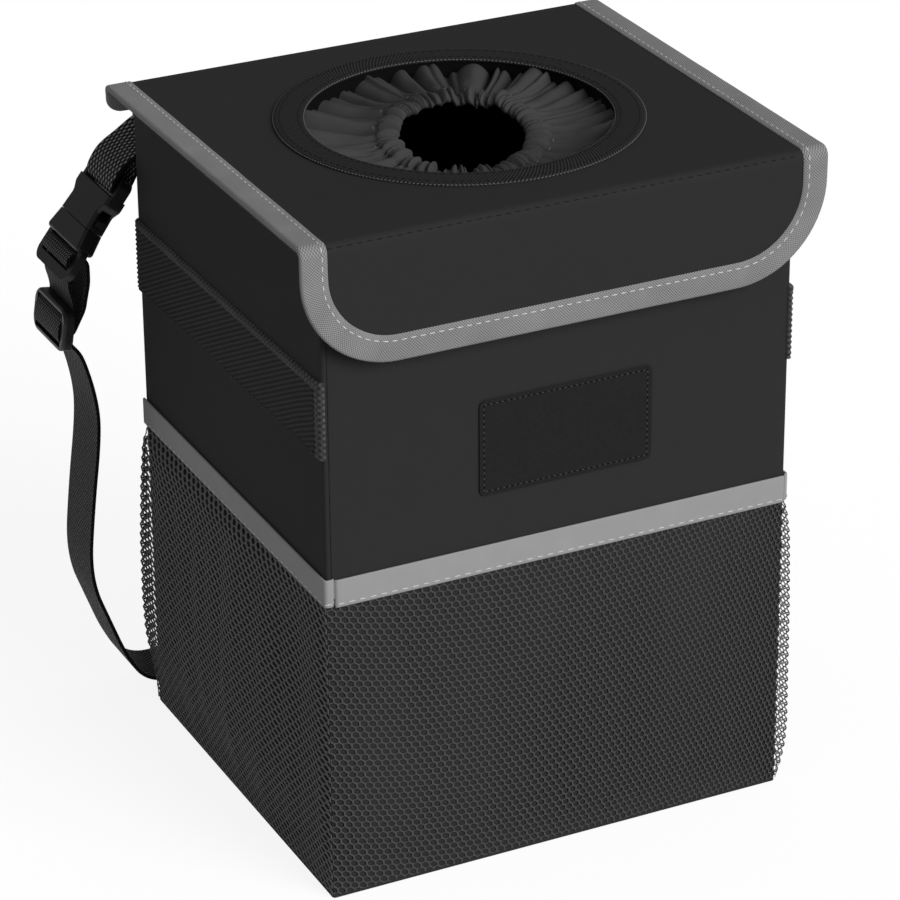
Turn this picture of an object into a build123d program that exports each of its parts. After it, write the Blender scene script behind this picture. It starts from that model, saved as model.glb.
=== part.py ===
"""Car trash bin: a cloth box with boards in its walls, a hinged lid with a gathered mouth, net pockets
and a buckled webbing strap. Millimetres, +Z up, front towards -Y, origin at the middle of the base."""

import os
from math import cos, radians, sin

from build123d import *

# Box of the bin
body_width = 188.6
body_depth = 168.0
rim_height = 261.1
corner_radius = 1.2
board_corner = 4.0
shell_cloth = 1.0
board = 1.6
liner_cloth = 0.8
base_cloth = 1.2
base_board_thick = 2.5
rim_tape = 0.6
rim_leg = 9.0

# Lid, its mouth and its flap
lid_gap = 0.9
lid_cloth = 0.7
lid_board_thick = 1.2
lid_lining_thick = 0.7
lid_overhang = 8.5
lid_front = 2.3
trim_cover = 10.3
trim_cloth = 0.6
trim_nose = 1.5
mouth_y = -2.5
mouth_radius = 57.0
mouth_tape = 11.5
collar_pleats = 24
collar_cloth = 0.8
collar_hole = 27.0
collar_drop = 4.6
pleat_rise = 3.2
hem_radius = 2.4
elastic_radius = 1.2
flap_drop = 47.1
flap_cloth = 1.6
flap_corner = 36.8
flap_fold_gap = 1.2
trim_fold_gap = 3.0
hinge_cloth = 1.2
hinge_drop = 7.6
closure_size = (70.0, 16.0, 2.4)

# Pockets, bands and patch on the walls
net_top = 127.0
net_cloth = 0.6
net_offset = 1.2
net_bulge = {"front": 1.4, "left": 5.4, "right": 5.4}
net_pitch = 16.0
net_bar = 3.0
net_rows = 6
band_low = 122.2
band_high = 133.2
band_cloth = 0.55
grip_low = 182.0
grip_high = 210.2
grip_thick = 1.3
grip_rib = 0.4
grip_rib_pitch = 4.5
grip_rib_angle = 27.0
patch_size = (70.0, 38.0, 2.0)
patch_centre = (1.6, 171.5)

# Strap, buckle and slider, which lie behind the back wall and swing out to the left
web_width = 25.0
web_thick = 1.4
strap_y = 98.0
anchor_end = -12.0
anchor_start = -46.0
anchor_high = 238.0
anchor_low = 15.5
buckle_centre = (-112.75, 205.3)
buckle_axis = (-0.611, -0.792)
slider_centre = (-125.2, 168.6)
slider_axis = (-0.148, -0.989)
buckle_width = 32.0
fit = 0.3

# Derived
half_w = body_width / 2
half_d = body_depth / 2
wall_top = rim_height - rim_tape
board_in = shell_cloth + board
liner_in = board_in + liner_cloth
floor_low = base_cloth + base_board_thick
lid_half_width = half_w + lid_overhang
lid_thick = lid_cloth + lid_board_thick + lid_lining_thick
lid_low = rim_height + lid_gap
lid_top = lid_low + lid_thick
hinge_z = lid_low + lid_thick / 2
hinge_y = half_d + rim_tape + hinge_cloth / 2
fold_y = -hinge_y - lid_front
lid_span = hinge_y - fold_y
lid_y = (hinge_y + fold_y) / 2
nose = lid_thick / 2
trim_radius = nose + trim_cloth
trim_out = lid_half_width + trim_nose
trim_in = trim_out - trim_cover
hole_radius = mouth_radius + 1.0
flap_in = fold_y - nose - fit
flap_out = flap_in - flap_cloth
flap_low = hinge_z - flap_drop

os.makedirs("parts", exist_ok=True)


def save(builder, name):
    builder.part.label = name
    export_step(builder.part, f"parts/{name}.step")


# Base and walls
with BuildPart() as base_panel:
    with BuildSketch():
        RectangleRounded(body_width, body_depth, corner_radius)
    extrude(amount=base_cloth)
save(base_panel, "base_panel")

with BuildPart() as outer_shell:
    with BuildSketch(Plane.XY.offset(base_cloth)):
        RectangleRounded(body_width, body_depth, corner_radius)
        RectangleRounded(
            body_width - 2 * shell_cloth,
            body_depth - 2 * shell_cloth,
            corner_radius - shell_cloth,
            mode=Mode.SUBTRACT,
        )
    extrude(amount=wall_top - base_cloth)
save(outer_shell, "outer_shell")

with BuildPart() as base_board:
    with BuildSketch(Plane.XY.offset(base_cloth)):
        RectangleRounded(
            body_width - 2 * shell_cloth - fit,
            body_depth - 2 * shell_cloth - fit,
            corner_radius - shell_cloth,
        )
    extrude(amount=base_board_thick)
save(base_board, "base_board")

board_height = wall_top - floor_low
board_z = floor_low + board_height / 2
for name, side in (("front_board", -1), ("back_board", 1)):
    with BuildPart() as wall_board:
        with Locations((0, side * (half_d - shell_cloth - board / 2), board_z)):
            Box(body_width - 2 * board_corner - 1, board, board_height)
    save(wall_board, name)
for name, side in (("left_board", -1), ("right_board", 1)):
    with BuildPart() as wall_board:
        with Locations((side * (half_w - shell_cloth - board / 2), 0, board_z)):
            Box(board, body_depth - 2 * board_corner - 2, board_height)
    save(wall_board, name)

with BuildPart() as inner_liner:
    with BuildSketch(Plane.XY.offset(floor_low)):
        RectangleRounded(body_width - 2 * board_in, body_depth - 2 * board_in, 2.4)
    extrude(amount=board_height)
    offset(amount=-liner_cloth, openings=inner_liner.faces().sort_by(Axis.Z)[-1])
save(inner_liner, "inner_liner")

with BuildPart() as rim_binding:
    rim_in = liner_in + rim_tape
    with BuildSketch(Plane.XY.offset(rim_height - rim_leg)):
        RectangleRounded(body_width + 2 * rim_tape, body_depth + 2 * rim_tape, corner_radius + rim_tape)
        RectangleRounded(body_width - 2 * rim_in, body_depth - 2 * rim_in, 1.0, mode=Mode.SUBTRACT)
    extrude(amount=rim_leg)
    with BuildSketch(Plane.XY.offset(rim_height - rim_leg)):
        RectangleRounded(body_width, body_depth, corner_radius)
        RectangleRounded(body_width - 2 * liner_in, body_depth - 2 * liner_in, 1.6, mode=Mode.SUBTRACT)
    extrude(amount=rim_leg - rim_tape, mode=Mode.SUBTRACT)
save(rim_binding, "rim_binding")

# Net pockets and their bands: built against the front wall, then turned to their side
walls = {"front": (0, half_d, body_width), "left": (-90, half_w, body_depth), "right": (90, half_w, body_depth)}
for name, (turn, wall, span) in walls.items():
    bulge = net_bulge[name]
    with BuildPart() as pocket:
        with BuildSketch(Plane.YZ):
            with BuildLine():
                Polyline(
                    (-wall, 2.0),
                    (-wall - max(bulge * 0.55, 1.1), 2.0),
                    (-wall - bulge, 14.0),
                    (-wall - net_offset, net_top - 6.0),
                    (-wall - net_offset, net_top),
                    (-wall, net_top),
                    close=True,
                )
            make_face()
        extrude(amount=span / 2 - 0.5, both=True)
        if bulge > 2:
            fillet(pocket.edges().filter_by(Axis.X).group_by(Axis.Y)[0], radius=6.0)
        ends = pocket.faces().filter_by(Axis.X)
        outer = [e for f in ends for e in f.edges() if e.center().Y < -wall - 1 and 4 < e.center().Z < net_top - 1]
        fillet(outer, radius=0.7)
        mouth = pocket.faces().sort_by(Axis.Z)[-1]
        back = pocket.faces().sort_by(Axis.Y)[-1]
        offset(amount=-net_cloth, openings=[mouth, back])
        with Locations((0, -wall, net_top)):
            Box(span, 2 * (net_offset - net_cloth), 2 * (net_top - band_low) + fit, mode=Mode.SUBTRACT)
        with BuildSketch(Plane.XZ.offset(wall + bulge + 2)):
            with Locations((0, 0.5 * band_low + 6.0)):
                with HexLocations(net_pitch / 2, int((span - 14) // (0.866 * net_pitch)), net_rows):
                    RegularPolygon((net_pitch - net_bar) / 2, 6, major_radius=False)
        extrude(amount=-(bulge + 1.5), mode=Mode.SUBTRACT)
    with BuildPart() as turned_pocket:
        add(pocket.part.rotate(Axis.Z, turn))
    save(turned_pocket, f"{name}_pocket_net")

    band_out = wall + net_offset + 0.1 + band_cloth
    reach = span / 2 + (band_out - wall) - 0.1 if name == "front" else span / 2 - 0.1
    with BuildPart() as band:
        with BuildSketch(Plane.YZ):
            with BuildLine():
                Polyline(
                    (-wall - 0.1, band_low),
                    (-wall - 0.1, band_high),
                    (-band_out, band_high),
                    (-band_out, band_low),
                    (-band_out + band_cloth, band_low),
                    (-band_out + band_cloth, net_top + 1),
                    (-wall - net_offset + net_cloth + 0.1, net_top + 1),
                    (-wall - net_offset + net_cloth + 0.1, band_low),
                    close=True,
                )
            make_face()
        extrude(amount=reach, both=True)
        fillet(band.edges().filter_by(Axis.X).group_by(Axis.Z)[-1], radius=0.8)
        tips = band.edges().filter_by(Axis.Z).filter_by(lambda e: e.center().Y < -band_out + 0.01)
        fillet(tips, radius=0.6)
    with BuildPart() as turned_band:
        add(band.part.rotate(Axis.Z, turn))
    save(turned_band, f"{name}_pocket_band")

# Ribbed grip webbing on both sides
grip_height = grip_high - grip_low
for name, side in (("left_grip", -1), ("right_grip", 1)):
    face = Plane(origin=(side * (half_w + grip_thick), 0, (grip_low + grip_high) / 2), x_dir=(0, 1, 0), z_dir=(1, 0, 0))
    with BuildPart() as grip:
        with Locations((side * (half_w + grip_thick / 2), 0, (grip_low + grip_high) / 2)):
            Box(grip_thick, body_depth, grip_height)
        with BuildSketch(face):
            along = grip_rib_pitch / sin(radians(grip_rib_angle))
            with GridLocations(along, 1, int(body_depth / along) + 7, 1):
                Rectangle(grip_rib_pitch / 2, 4 * grip_height, rotation=90 - grip_rib_angle)
            Rectangle(body_depth - 8, grip_height - 7, mode=Mode.INTERSECT)
        extrude(amount=side * grip_rib)
    save(grip, name)

with BuildPart() as label_patch:
    with BuildSketch(Plane.XZ.offset(half_d)):
        with Locations(patch_centre):
            RectangleRounded(patch_size[0], patch_size[1], 4.0)
    extrude(amount=patch_size[2])
    fillet(label_patch.faces().sort_by(Axis.Y)[0].edges(), radius=0.6)
save(label_patch, "label_patch")

closure_z = flap_low + 21.0
with BuildPart() as closure_loop_strip:
    with Locations((0, -half_d - closure_size[2] / 2, closure_z)):
        Box(closure_size[0], closure_size[2], closure_size[1])
save(closure_loop_strip, "closure_loop_strip")

# Hinge flap on the back wall, with grey ends
flap_y = half_d + rim_tape
hinge_low = hinge_z - nose - fit - hinge_drop
tab_in = half_w + rim_tape + fit
with BuildPart() as hinge_flap:
    with BuildSketch(Plane.XZ.offset(-flap_y)):
        with Locations((0, hinge_low + hinge_drop / 2)):
            Rectangle(2 * trim_in, hinge_drop)
        with Locations((0, (hinge_low + trim_nose + hinge_z - trim_radius - fit) / 2)):
            Rectangle(2 * lid_half_width, hinge_z - trim_radius - fit - hinge_low - trim_nose)
    extrude(amount=-hinge_cloth)
save(hinge_flap, "hinge_flap")

for name, side in (("hinge_trim_left", -1), ("hinge_trim_right", 1)):
    trim_height = hinge_z - trim_radius - fit - hinge_low
    with BuildPart() as hinge_trim:
        with Locations((side * (tab_in + trim_out) / 2, flap_y + hinge_cloth / 2, hinge_low + trim_height / 2)):
            Box(trim_out - tab_in, hinge_cloth + 2 * trim_cloth, trim_height)
        corner = hinge_trim.edges().filter_by(Axis.Y).sort_by(lambda e: e.center().Z - side * e.center().X)[0]
        fillet(corner, radius=5.5)
        with Locations((side * (tab_in + lid_half_width) / 2, flap_y + hinge_cloth / 2, hinge_low + trim_nose + trim_height / 2)):
            Box(lid_half_width - tab_in, hinge_cloth, trim_height, mode=Mode.SUBTRACT)
    save(hinge_trim, name)

# Lid
with BuildPart() as lid_panel:
    with BuildSketch(Plane.YZ):
        with Locations((lid_y, hinge_z)):
            SlotCenterToCenter(lid_span, lid_thick)
        with Locations((lid_y, lid_low + (lid_thick - lid_cloth) / 2)):
            Rectangle(lid_span, lid_thick - lid_cloth, mode=Mode.SUBTRACT)
    extrude(amount=lid_half_width, both=True)
    with BuildSketch(Plane.XY.offset(lid_low)):
        with Locations((0, mouth_y)):
            Circle(hole_radius)
    extrude(amount=lid_thick, mode=Mode.SUBTRACT)
save(lid_panel, "lid_panel")

for name, low, thick in (
    ("lid_lining", lid_low, lid_lining_thick),
    ("lid_board", lid_low + lid_lining_thick, lid_board_thick),
):
    with BuildPart() as layer:
        with BuildSketch(Plane.XY.offset(low)):
            with Locations((0, lid_y)):
                Rectangle(2 * lid_half_width, lid_span)
            with Locations((0, mouth_y)):
                Circle(hole_radius, mode=Mode.SUBTRACT)
        extrude(amount=thick)
    save(layer, name)

for name, side in (("lid_trim_left", -1), ("lid_trim_right", 1)):
    with BuildPart() as lid_trim:
        with BuildSketch(Plane.YZ.offset(side * trim_in)):
            with Locations((lid_y, hinge_z)):
                SlotCenterToCenter(lid_span, 2 * trim_radius)
        extrude(amount=side * trim_cover)
        fillet(lid_trim.faces().sort_by(Axis.X)[0 if side < 0 else -1].edges(), radius=1.2)
        with BuildSketch(Plane.YZ.offset(side * trim_in)):
            with Locations((lid_y, hinge_z)):
                SlotCenterToCenter(lid_span, lid_thick)
        extrude(amount=side * (trim_cover - trim_nose), mode=Mode.SUBTRACT)
    save(lid_trim, name)

mouth_axis = Axis((0, mouth_y, 0), (0, 0, 1))
mouth_plane = Plane(origin=(0, mouth_y, 0), x_dir=(1, 0, 0), z_dir=(0, -1, 0))
with BuildPart() as opening_ring:
    with BuildSketch(mouth_plane):
        with BuildLine():
            Polyline(
                (mouth_radius, lid_low),
                (mouth_radius, lid_top + 1.0),
                (mouth_radius + mouth_tape, lid_top + 1.0),
                (mouth_radius + mouth_tape, lid_top),
                (mouth_radius + 0.8, lid_top),
                (mouth_radius + 0.8, lid_low),
                close=True,
            )
        make_face()
    revolve(axis=mouth_axis)
    fillet(opening_ring.faces().sort_by(Axis.Z)[-1].edges(), radius=0.5)
save(opening_ring, "opening_ring")

# Collar: one gather lofted from crease to crest to crease, then repeated round the mouth
hem_z = lid_low - collar_drop
step = 360.0 / collar_pleats
with BuildPart() as pleat:
    for turn, rise in ((-step / 2, 0.0), (0.0, pleat_rise), (step / 2, 0.0)):
        c = cos(radians(turn))
        s = sin(radians(turn))
        top = [
            (mouth_radius + 1.5, lid_low - collar_cloth),
            ((mouth_radius + collar_hole) / 2 + 4, hem_z - 0.8 + rise),
            (collar_hole, hem_z - 0.2 + 0.6 * rise),
        ]
        with BuildSketch(Plane(origin=(0, 0, 0), x_dir=(c, s, 0), z_dir=(s, -c, 0))):
            with BuildLine():
                Polyline(
                    *[(r, z + collar_cloth / 2) for r, z in top],
                    *[(r, z - collar_cloth / 2) for r, z in reversed(top)],
                    close=True,
                )
            make_face()
    loft()

with BuildPart() as gathered_collar:
    with BuildSketch(Plane.XY.offset(lid_low - collar_cloth)):
        with Locations((0, mouth_y)):
            Circle(mouth_radius + 8)
            Circle(mouth_radius, mode=Mode.SUBTRACT)
    extrude(amount=collar_cloth)
    with Locations((0, mouth_y, hem_z)):
        Torus(collar_hole, hem_radius)
    with Locations((0, mouth_y, 0)):
        with PolarLocations(0, collar_pleats):
            add(pleat.part)
    with Locations((0, mouth_y, hem_z)):
        Torus(collar_hole, elastic_radius + 0.1, mode=Mode.SUBTRACT)
save(gathered_collar, "gathered_collar")

with BuildPart() as collar_elastic:
    with Locations((0, mouth_y, hem_z)):
        Torus(collar_hole, elastic_radius)
save(collar_elastic, "collar_elastic")

# Front flap


def flap_outline(inset, fold_gap):
    """Face of the flap inside its outer edge by inset, ending below the fold by a gap."""
    half = trim_out - inset
    low = flap_low + inset
    corner = flap_corner - inset
    top = hinge_z - fold_gap
    with BuildSketch() as outline:
        with BuildLine():
            FilletPolyline(
                (-half, top),
                (-half, low),
                (half, low),
                (half, top),
                radius=(0, corner, corner, 0),
                close=True,
            )
        make_face()
    return outline.sketch


flap_plane = Plane.XZ.offset(-flap_in)
with BuildPart() as flap_panel:
    with BuildSketch(flap_plane):
        add(flap_outline(trim_nose, flap_fold_gap))
        with Locations((-trim_out, hinge_z), (trim_out, hinge_z)):
            Rectangle(2 * (trim_cover + fit), 2 * trim_fold_gap, mode=Mode.SUBTRACT)
    extrude(amount=flap_cloth)
save(flap_panel, "flap_panel")

with BuildPart() as flap_trim:
    with BuildSketch(Plane.XZ.offset(-flap_in - trim_cloth)):
        add(flap_outline(0.0, trim_fold_gap))
    extrude(amount=flap_cloth + 2 * trim_cloth)
    rims = flap_trim.faces().filter_by(Axis.Y).sort_by(Axis.Y)
    low_edges = [e for f in (rims[0], rims[-1]) for e in f.edges() if e.center().Z < hinge_z - trim_fold_gap - 1]
    fillet(low_edges, radius=1.2)
    with BuildSketch(Plane.XZ.offset(-flap_in - trim_cloth)):
        add(flap_outline(trim_cover, 0.0))
    extrude(amount=flap_cloth + 2 * trim_cloth, mode=Mode.SUBTRACT)
    with BuildSketch(flap_plane):
        add(flap_outline(trim_nose, 0.0))
    extrude(amount=flap_cloth, mode=Mode.SUBTRACT)
save(flap_trim, "flap_trim")

with BuildPart() as closure_hook_strip:
    with Locations((0, flap_in + closure_size[2] / 2, closure_z)):
        Box(closure_size[0], closure_size[2], closure_size[1])
save(closure_hook_strip, "closure_hook_strip")

# Buckle: plane with x across the strap, y along it towards the plug, z out of its face
buckle_plane = Plane(
    origin=(buckle_centre[0], strap_y, buckle_centre[1]),
    x_dir=(0, 1, 0),
    z_dir=(buckle_axis[1], 0, -buckle_axis[0]),
)
slider_plane = Plane(
    origin=(slider_centre[0], strap_y, slider_centre[1]),
    x_dir=(0, 1, 0),
    z_dir=(slider_axis[1], 0, -slider_axis[0]),
)

with BuildPart(buckle_plane) as buckle_socket:
    with BuildSketch(buckle_plane.offset(-4)):
        with BuildLine():
            FilletPolyline(
                (-13.2, -1.75),
                (13.2, -1.75),
                (12.5, -9.5),
                (15.2, -13.0),
                (15.2, -25.0),
                (-15.2, -25.0),
                (-15.2, -13.0),
                (-12.5, -9.5),
                radius=(0, 0, 2.2, 2.2, 3.5, 3.5, 2.2, 2.2),
                close=True,
            )
        make_face()
    extrude(amount=8)
    buckle_up = Axis(buckle_plane.origin, buckle_plane.z_dir)
    buckle_faces = buckle_socket.faces().sort_by(buckle_up)
    rim_edges = buckle_faces[0].edges() + buckle_faces[-1].edges()
    fillet([e for e in rim_edges if buckle_plane.to_local_coords(e.center()).Y < -1.8], radius=1.2)
    with Locations((0, -21.5, 3.6), (0, -21.5, -3.6)):
        Box(40, 9.2, 2, mode=Mode.SUBTRACT)
    with Locations((0, -21.7, 0)):
        Box(web_width + 1, 9.2, 9, mode=Mode.SUBTRACT)
    with Locations((0, -23.6, 0)):
        Box(web_width + 3, 2.6, 3)
    with Locations((0, -7.9, 0)):
        Box(19.2, 12.4, 4.6, mode=Mode.SUBTRACT)
    with Locations((0, -7.2, 0)):
        Box(buckle_width + 8, 7.2, 4.6, mode=Mode.SUBTRACT)
save(buckle_socket, "buckle_socket")

with BuildPart(buckle_plane) as buckle_plug:
    with BuildSketch(buckle_plane.offset(-4)):
        with BuildLine():
            FilletPolyline(
                (-13.2, -1.45), (13.2, -1.45), (15.6, 7.6), (-15.6, 7.6), radius=(0, 0, 1.6, 1.6), close=True
            )
        make_face()
    extrude(amount=8)
    buckle_faces = buckle_plug.faces().sort_by(buckle_up)
    rim_edges = buckle_faces[0].edges() + buckle_faces[-1].edges()
    fillet([e for e in rim_edges if buckle_plane.to_local_coords(e.center()).Y > -1.4], radius=1.2)
    with BuildSketch(buckle_plane.offset(-1.5)):
        with Locations((0, 12.15)):
            RectangleRounded(buckle_width, 16.3, 5)
        with Locations((0, 9.1)):
            Rectangle(web_width + 1, 3.0, mode=Mode.SUBTRACT)
        with Locations((0, 14.7)):
            Rectangle(web_width + 1, 3.0, mode=Mode.SUBTRACT)
    extrude(amount=3)
    with Locations((0, 1.2, 0)):
        Box(5, 12, 4)
    for side in (-1, 1):
        with BuildSketch(buckle_plane.offset(-2)):
            Polygon(
                (side * 6.4, 1.0),
                (side * 6.4, -9.4),
                (side * 8.2, -10.4),
                (side * 14.0, -6.6),
                (side * 14.0, -4.0),
                (side * 9.2, -4.0),
                (side * 9.2, 1.0),
                align=None,
            )
        extrude(amount=4)
save(buckle_plug, "buckle_plug")

with BuildPart(slider_plane) as strap_slider:
    with BuildSketch(slider_plane.offset(-2)):
        RectangleRounded(buckle_width, 17.5, 5.5)
        RectangleRounded(web_width + 0.8, 13.7, 0.5, mode=Mode.SUBTRACT)
    extrude(amount=4.2)
    slider_up = Axis(slider_plane.origin, slider_plane.z_dir)
    fillet(strap_slider.faces().sort_by(slider_up)[-1].outer_wire().edges(), radius=1.2)
    with Locations((0, 0, -1.2)):
        Box(web_width + 2, 2.6, 1.6)
save(strap_slider, "strap_slider")


def on_buckle(along, out):
    """Point of the strap's mid plane at a place along the buckle and out of its face."""
    return (
        buckle_centre[0] + along * buckle_axis[0] + out * buckle_axis[1],
        buckle_centre[1] + along * buckle_axis[1] - out * buckle_axis[0],
    )


def on_slider(along, out):
    """Point of the strap's mid plane at a place along the slider and out of its face."""
    return (
        slider_centre[0] + along * slider_axis[0] + out * slider_axis[1],
        slider_centre[1] + along * slider_axis[1] - out * slider_axis[0],
    )


def web_section(centre, direction, lean):
    """Cross-section of the webbing at a point: lean is 0 lying level and 90 flat on the back wall."""
    t = Vector(*direction).normalized()
    v = Vector(0, cos(radians(lean)), sin(radians(lean)))
    v = v - t * v.dot(t)
    with BuildSketch(Plane(origin=centre, x_dir=v, z_dir=t)) as section:
        Rectangle(web_width, web_thick)
    return section.sketch


strap_plane = Plane.XZ.offset(-strap_y)
sewn_y = half_d + web_thick / 2

# Upper strap: sewn flat on the back wall, turned out level and looped round the socket's bar
with BuildPart() as strap_upper:
    with BuildLine(strap_plane) as upper_loop:
        FilletPolyline(
            on_buckle(-36.5, 1.6),
            on_buckle(-32.5, 3.4),
            on_buckle(-27.0, 4.8),
            on_buckle(-18.0, 3.4),
            on_buckle(-18.0, -2.5),
            on_buckle(-28.0, -2.5),
            on_buckle(-36.0, 0.2),
            radius=(6, 6, 2.4, 2.4, 8),
        )
    start = upper_loop.line @ 0
    with BuildSketch(Plane(origin=start, x_dir=(0, 1, 0), z_dir=upper_loop.line % 0)):
        Rectangle(web_width, web_thick)
    sweep(path=upper_loop.line)
    back_along = upper_loop.line % 0
    loft(
        [
            web_section(start, (-back_along.X, 0, -back_along.Z), 0),
            web_section((-84.0, strap_y - 0.8, 238.0), (0.95, -0.1, 0.3), 16),
            web_section((-72.0, strap_y - 3.0, 240.6), (0.97, -0.22, 0.08), 45),
            web_section((-59.5, sewn_y + 5.2, 239.6), (0.92, -0.36, -0.1), 74),
            web_section((anchor_start, sewn_y, anchor_high), (1, 0, 0), 90),
        ]
    )
    with Locations(((anchor_start + anchor_end) / 2, sewn_y, anchor_high)):
        Box(anchor_end - anchor_start, web_thick, web_width)
save(strap_upper, "strap_upper")

# Lower strap: tail round the slider's middle bar, loop round the plug's bar, back through the slider, down
lower_points = [
    on_slider(-1.0, 0.6),
    on_slider(2.3, 0.6),
    on_slider(2.3, -3.1),
    (-119.8, 170.9),
    (-117.2, 175.5),
    (-116.2, 180.5),
    (-114.9, 186.0),
    (-114.8, 190.0),
    on_buckle(9.1, -4.3),
    on_buckle(9.1, 2.5),
    on_buckle(14.6, 2.5),
    on_buckle(15.0, -2.5),
    on_buckle(20.5, -2.5),
    on_slider(-10.5, -3.0),
    on_slider(-6.0, -3.0),
    on_slider(-4.5, 2.2),
    on_slider(4.5, 2.2),
    on_slider(6.1, -3.0),
    (-118.4, 155.0),
    (-113.8, 136.0),
    (-113.4, 121.0),
    (-117.6, 91.0),
    (-120.6, 60.0),
    (-112.3, 37.0),
    (-107.2, 23.0),
    (-99.6, 9.6),
    (-86.0, 6.4),
]
loop_radii = [1.4, 1.6, 3, 4, 4, 4, 4, 1.5, 1.4, 1.0, 1.0, 3, 4, 1.4, 1.4, 1.4, 4]
fall_radii = [14, 30, 60, 60, 45, 40, 40, 18]
with BuildPart() as strap_lower:
    with BuildLine(strap_plane) as lower_route:
        FilletPolyline(*lower_points, radius=loop_radii + fall_radii)
    with BuildSketch(Plane(origin=lower_route.line @ 0, x_dir=(0, 1, 0), z_dir=lower_route.line % 0)):
        Rectangle(web_width, web_thick)
    sweep(path=lower_route.line)
    finish = lower_route.line @ 1
    along = lower_route.line % 1
    loft(
        [
            web_section(finish, (along.X, 0, along.Z), 0),
            web_section((finish.X + 15.0, strap_y - 2.4, 8.6), (0.96, -0.2, 0.16), 42),
            web_section((finish.X + 28.0, sewn_y + 5.4, 13.2), (0.9, -0.36, 0.2), 72),
            web_section((anchor_start, sewn_y, anchor_low), (1, 0, 0), 90),
        ]
    )
    with Locations(((anchor_start + anchor_end) / 2, sewn_y, anchor_low)):
        Box(anchor_end - anchor_start, web_thick, web_width)
save(strap_lower, "strap_lower")
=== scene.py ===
"""Cloth, net, webbing, stitching and studio of a car trash bin, dressed over its frame.

Metres, +Z up, front towards -Y, origin at the middle of the base.
"""

import bisect
import math
import random
from collections import namedtuple

import bmesh
import bpy
from bpy.props import FloatProperty, FloatVectorProperty, IntProperty, PointerProperty
from mathutils import Matrix, Vector, noise


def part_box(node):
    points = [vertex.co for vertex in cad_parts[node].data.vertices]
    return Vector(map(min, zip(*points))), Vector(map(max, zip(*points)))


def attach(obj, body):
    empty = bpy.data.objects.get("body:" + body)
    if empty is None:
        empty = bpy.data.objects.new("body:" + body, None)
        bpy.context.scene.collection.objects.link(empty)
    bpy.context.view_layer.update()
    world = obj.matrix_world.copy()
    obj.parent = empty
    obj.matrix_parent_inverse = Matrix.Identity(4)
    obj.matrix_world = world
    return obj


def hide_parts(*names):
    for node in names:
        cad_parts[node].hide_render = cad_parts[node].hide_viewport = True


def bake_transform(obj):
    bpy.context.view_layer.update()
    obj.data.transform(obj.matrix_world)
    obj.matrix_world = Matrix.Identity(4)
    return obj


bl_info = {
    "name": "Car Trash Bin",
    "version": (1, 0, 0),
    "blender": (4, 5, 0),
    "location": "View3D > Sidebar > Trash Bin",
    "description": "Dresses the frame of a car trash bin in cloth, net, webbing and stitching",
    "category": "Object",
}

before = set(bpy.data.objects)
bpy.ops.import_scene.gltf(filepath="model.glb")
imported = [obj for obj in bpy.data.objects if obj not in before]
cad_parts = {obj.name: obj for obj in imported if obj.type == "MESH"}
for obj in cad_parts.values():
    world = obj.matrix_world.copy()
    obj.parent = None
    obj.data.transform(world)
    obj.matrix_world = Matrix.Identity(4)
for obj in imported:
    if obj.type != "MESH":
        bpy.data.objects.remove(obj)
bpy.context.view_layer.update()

MM = 0.001
X_AXIS = Vector((1, 0, 0))
Y_AXIS = Vector((0, 1, 0))
Z_AXIS = Vector((0, 0, 1))

# Places read from the frame
WALL_LOW, WALL_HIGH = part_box("outer_shell")
LINER_LOW, LINER_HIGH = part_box("inner_liner")
RIM_LOW, RIM_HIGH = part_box("rim_binding")
LID_LOW, LID_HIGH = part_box("lid_panel")
FLAP_LOW, FLAP_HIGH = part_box("flap_panel")
RING_LOW, RING_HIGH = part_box("opening_ring")
HINGE_LOW, HINGE_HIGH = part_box("hinge_flap")
PATCH_LOW, PATCH_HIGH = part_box("label_patch")
GRIP_LOW, GRIP_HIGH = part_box("left_grip")
BAND_LOW, BAND_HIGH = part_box("front_pocket_band")
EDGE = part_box("lid_trim_right")[1].x
FLAP_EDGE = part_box("flap_trim")[0].z
LID_MID = (LID_LOW.z + LID_HIGH.z) / 2
LID_HALF = (LID_HIGH.z - LID_LOW.z) / 2
FLAP_MID = (FLAP_LOW.y + FLAP_HIGH.y) / 2
FLAP_HALF = (FLAP_HIGH.y - FLAP_LOW.y) / 2
FOLD_Y = LID_LOW.y + LID_HALF
HINGE_Y = LID_HIGH.y - LID_HALF
FOLD_RADIUS = FOLD_Y - FLAP_MID
MOUTH = Vector((0, (RING_LOW.y + RING_HIGH.y) / 2, 0))
RING_RADIUS = (RING_HIGH.x - RING_LOW.x) / 2

Station = namedtuple("Station", "place across up run")
Seam = namedtuple("Seam", "finish pitch start length thick slot")

# Holes of each net: slant of their narrow way, and their size that way and along the other
NET_DRAW = {"front": (31.8, 0.9, 1.08), "left": (44.0, 0.74, 1.05), "right": (0.0, 1.0, 1.0)}

# Each net's thread and cloth as shares of the common sizes, the depth of its waves, and the length in which
# it comes off the wall at its right-hand end, seen from outside
NET_MAKE = {
    "front": (1.0, 1.0, 0.12 * MM, 1.2 * MM),
    "left": (1.9, 1.0, 0.9 * MM, 8 * MM),
    "right": (1.2, 0.7, 0.9 * MM, 1.2 * MM),
}

# How far each net hangs off its wall, by height, both in millimetres
NET_HANG = {
    "front": [(0, 0.5), (8, 0.6), (14, 0.7), (60, 0.6), (126, 0.5)],
    "left": [
        (0, 0.5), (6, 1.2), (12, 1.9), (24, 4.2), (34, 5.7), (50, 6.3),
        (75, 5.9), (100, 4.5), (116, 3.1), (121, 1.4), (126, 0.5),
    ],
    "right": [
        (0, 0.4), (4, 2.4), (9, 3.9), (16, 5.4), (25, 5.9), (72, 5.2),
        (94, 4.5), (106, 4.1), (116, 2.6), (121, 1.2), (126, 0.5),
    ],
}

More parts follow.
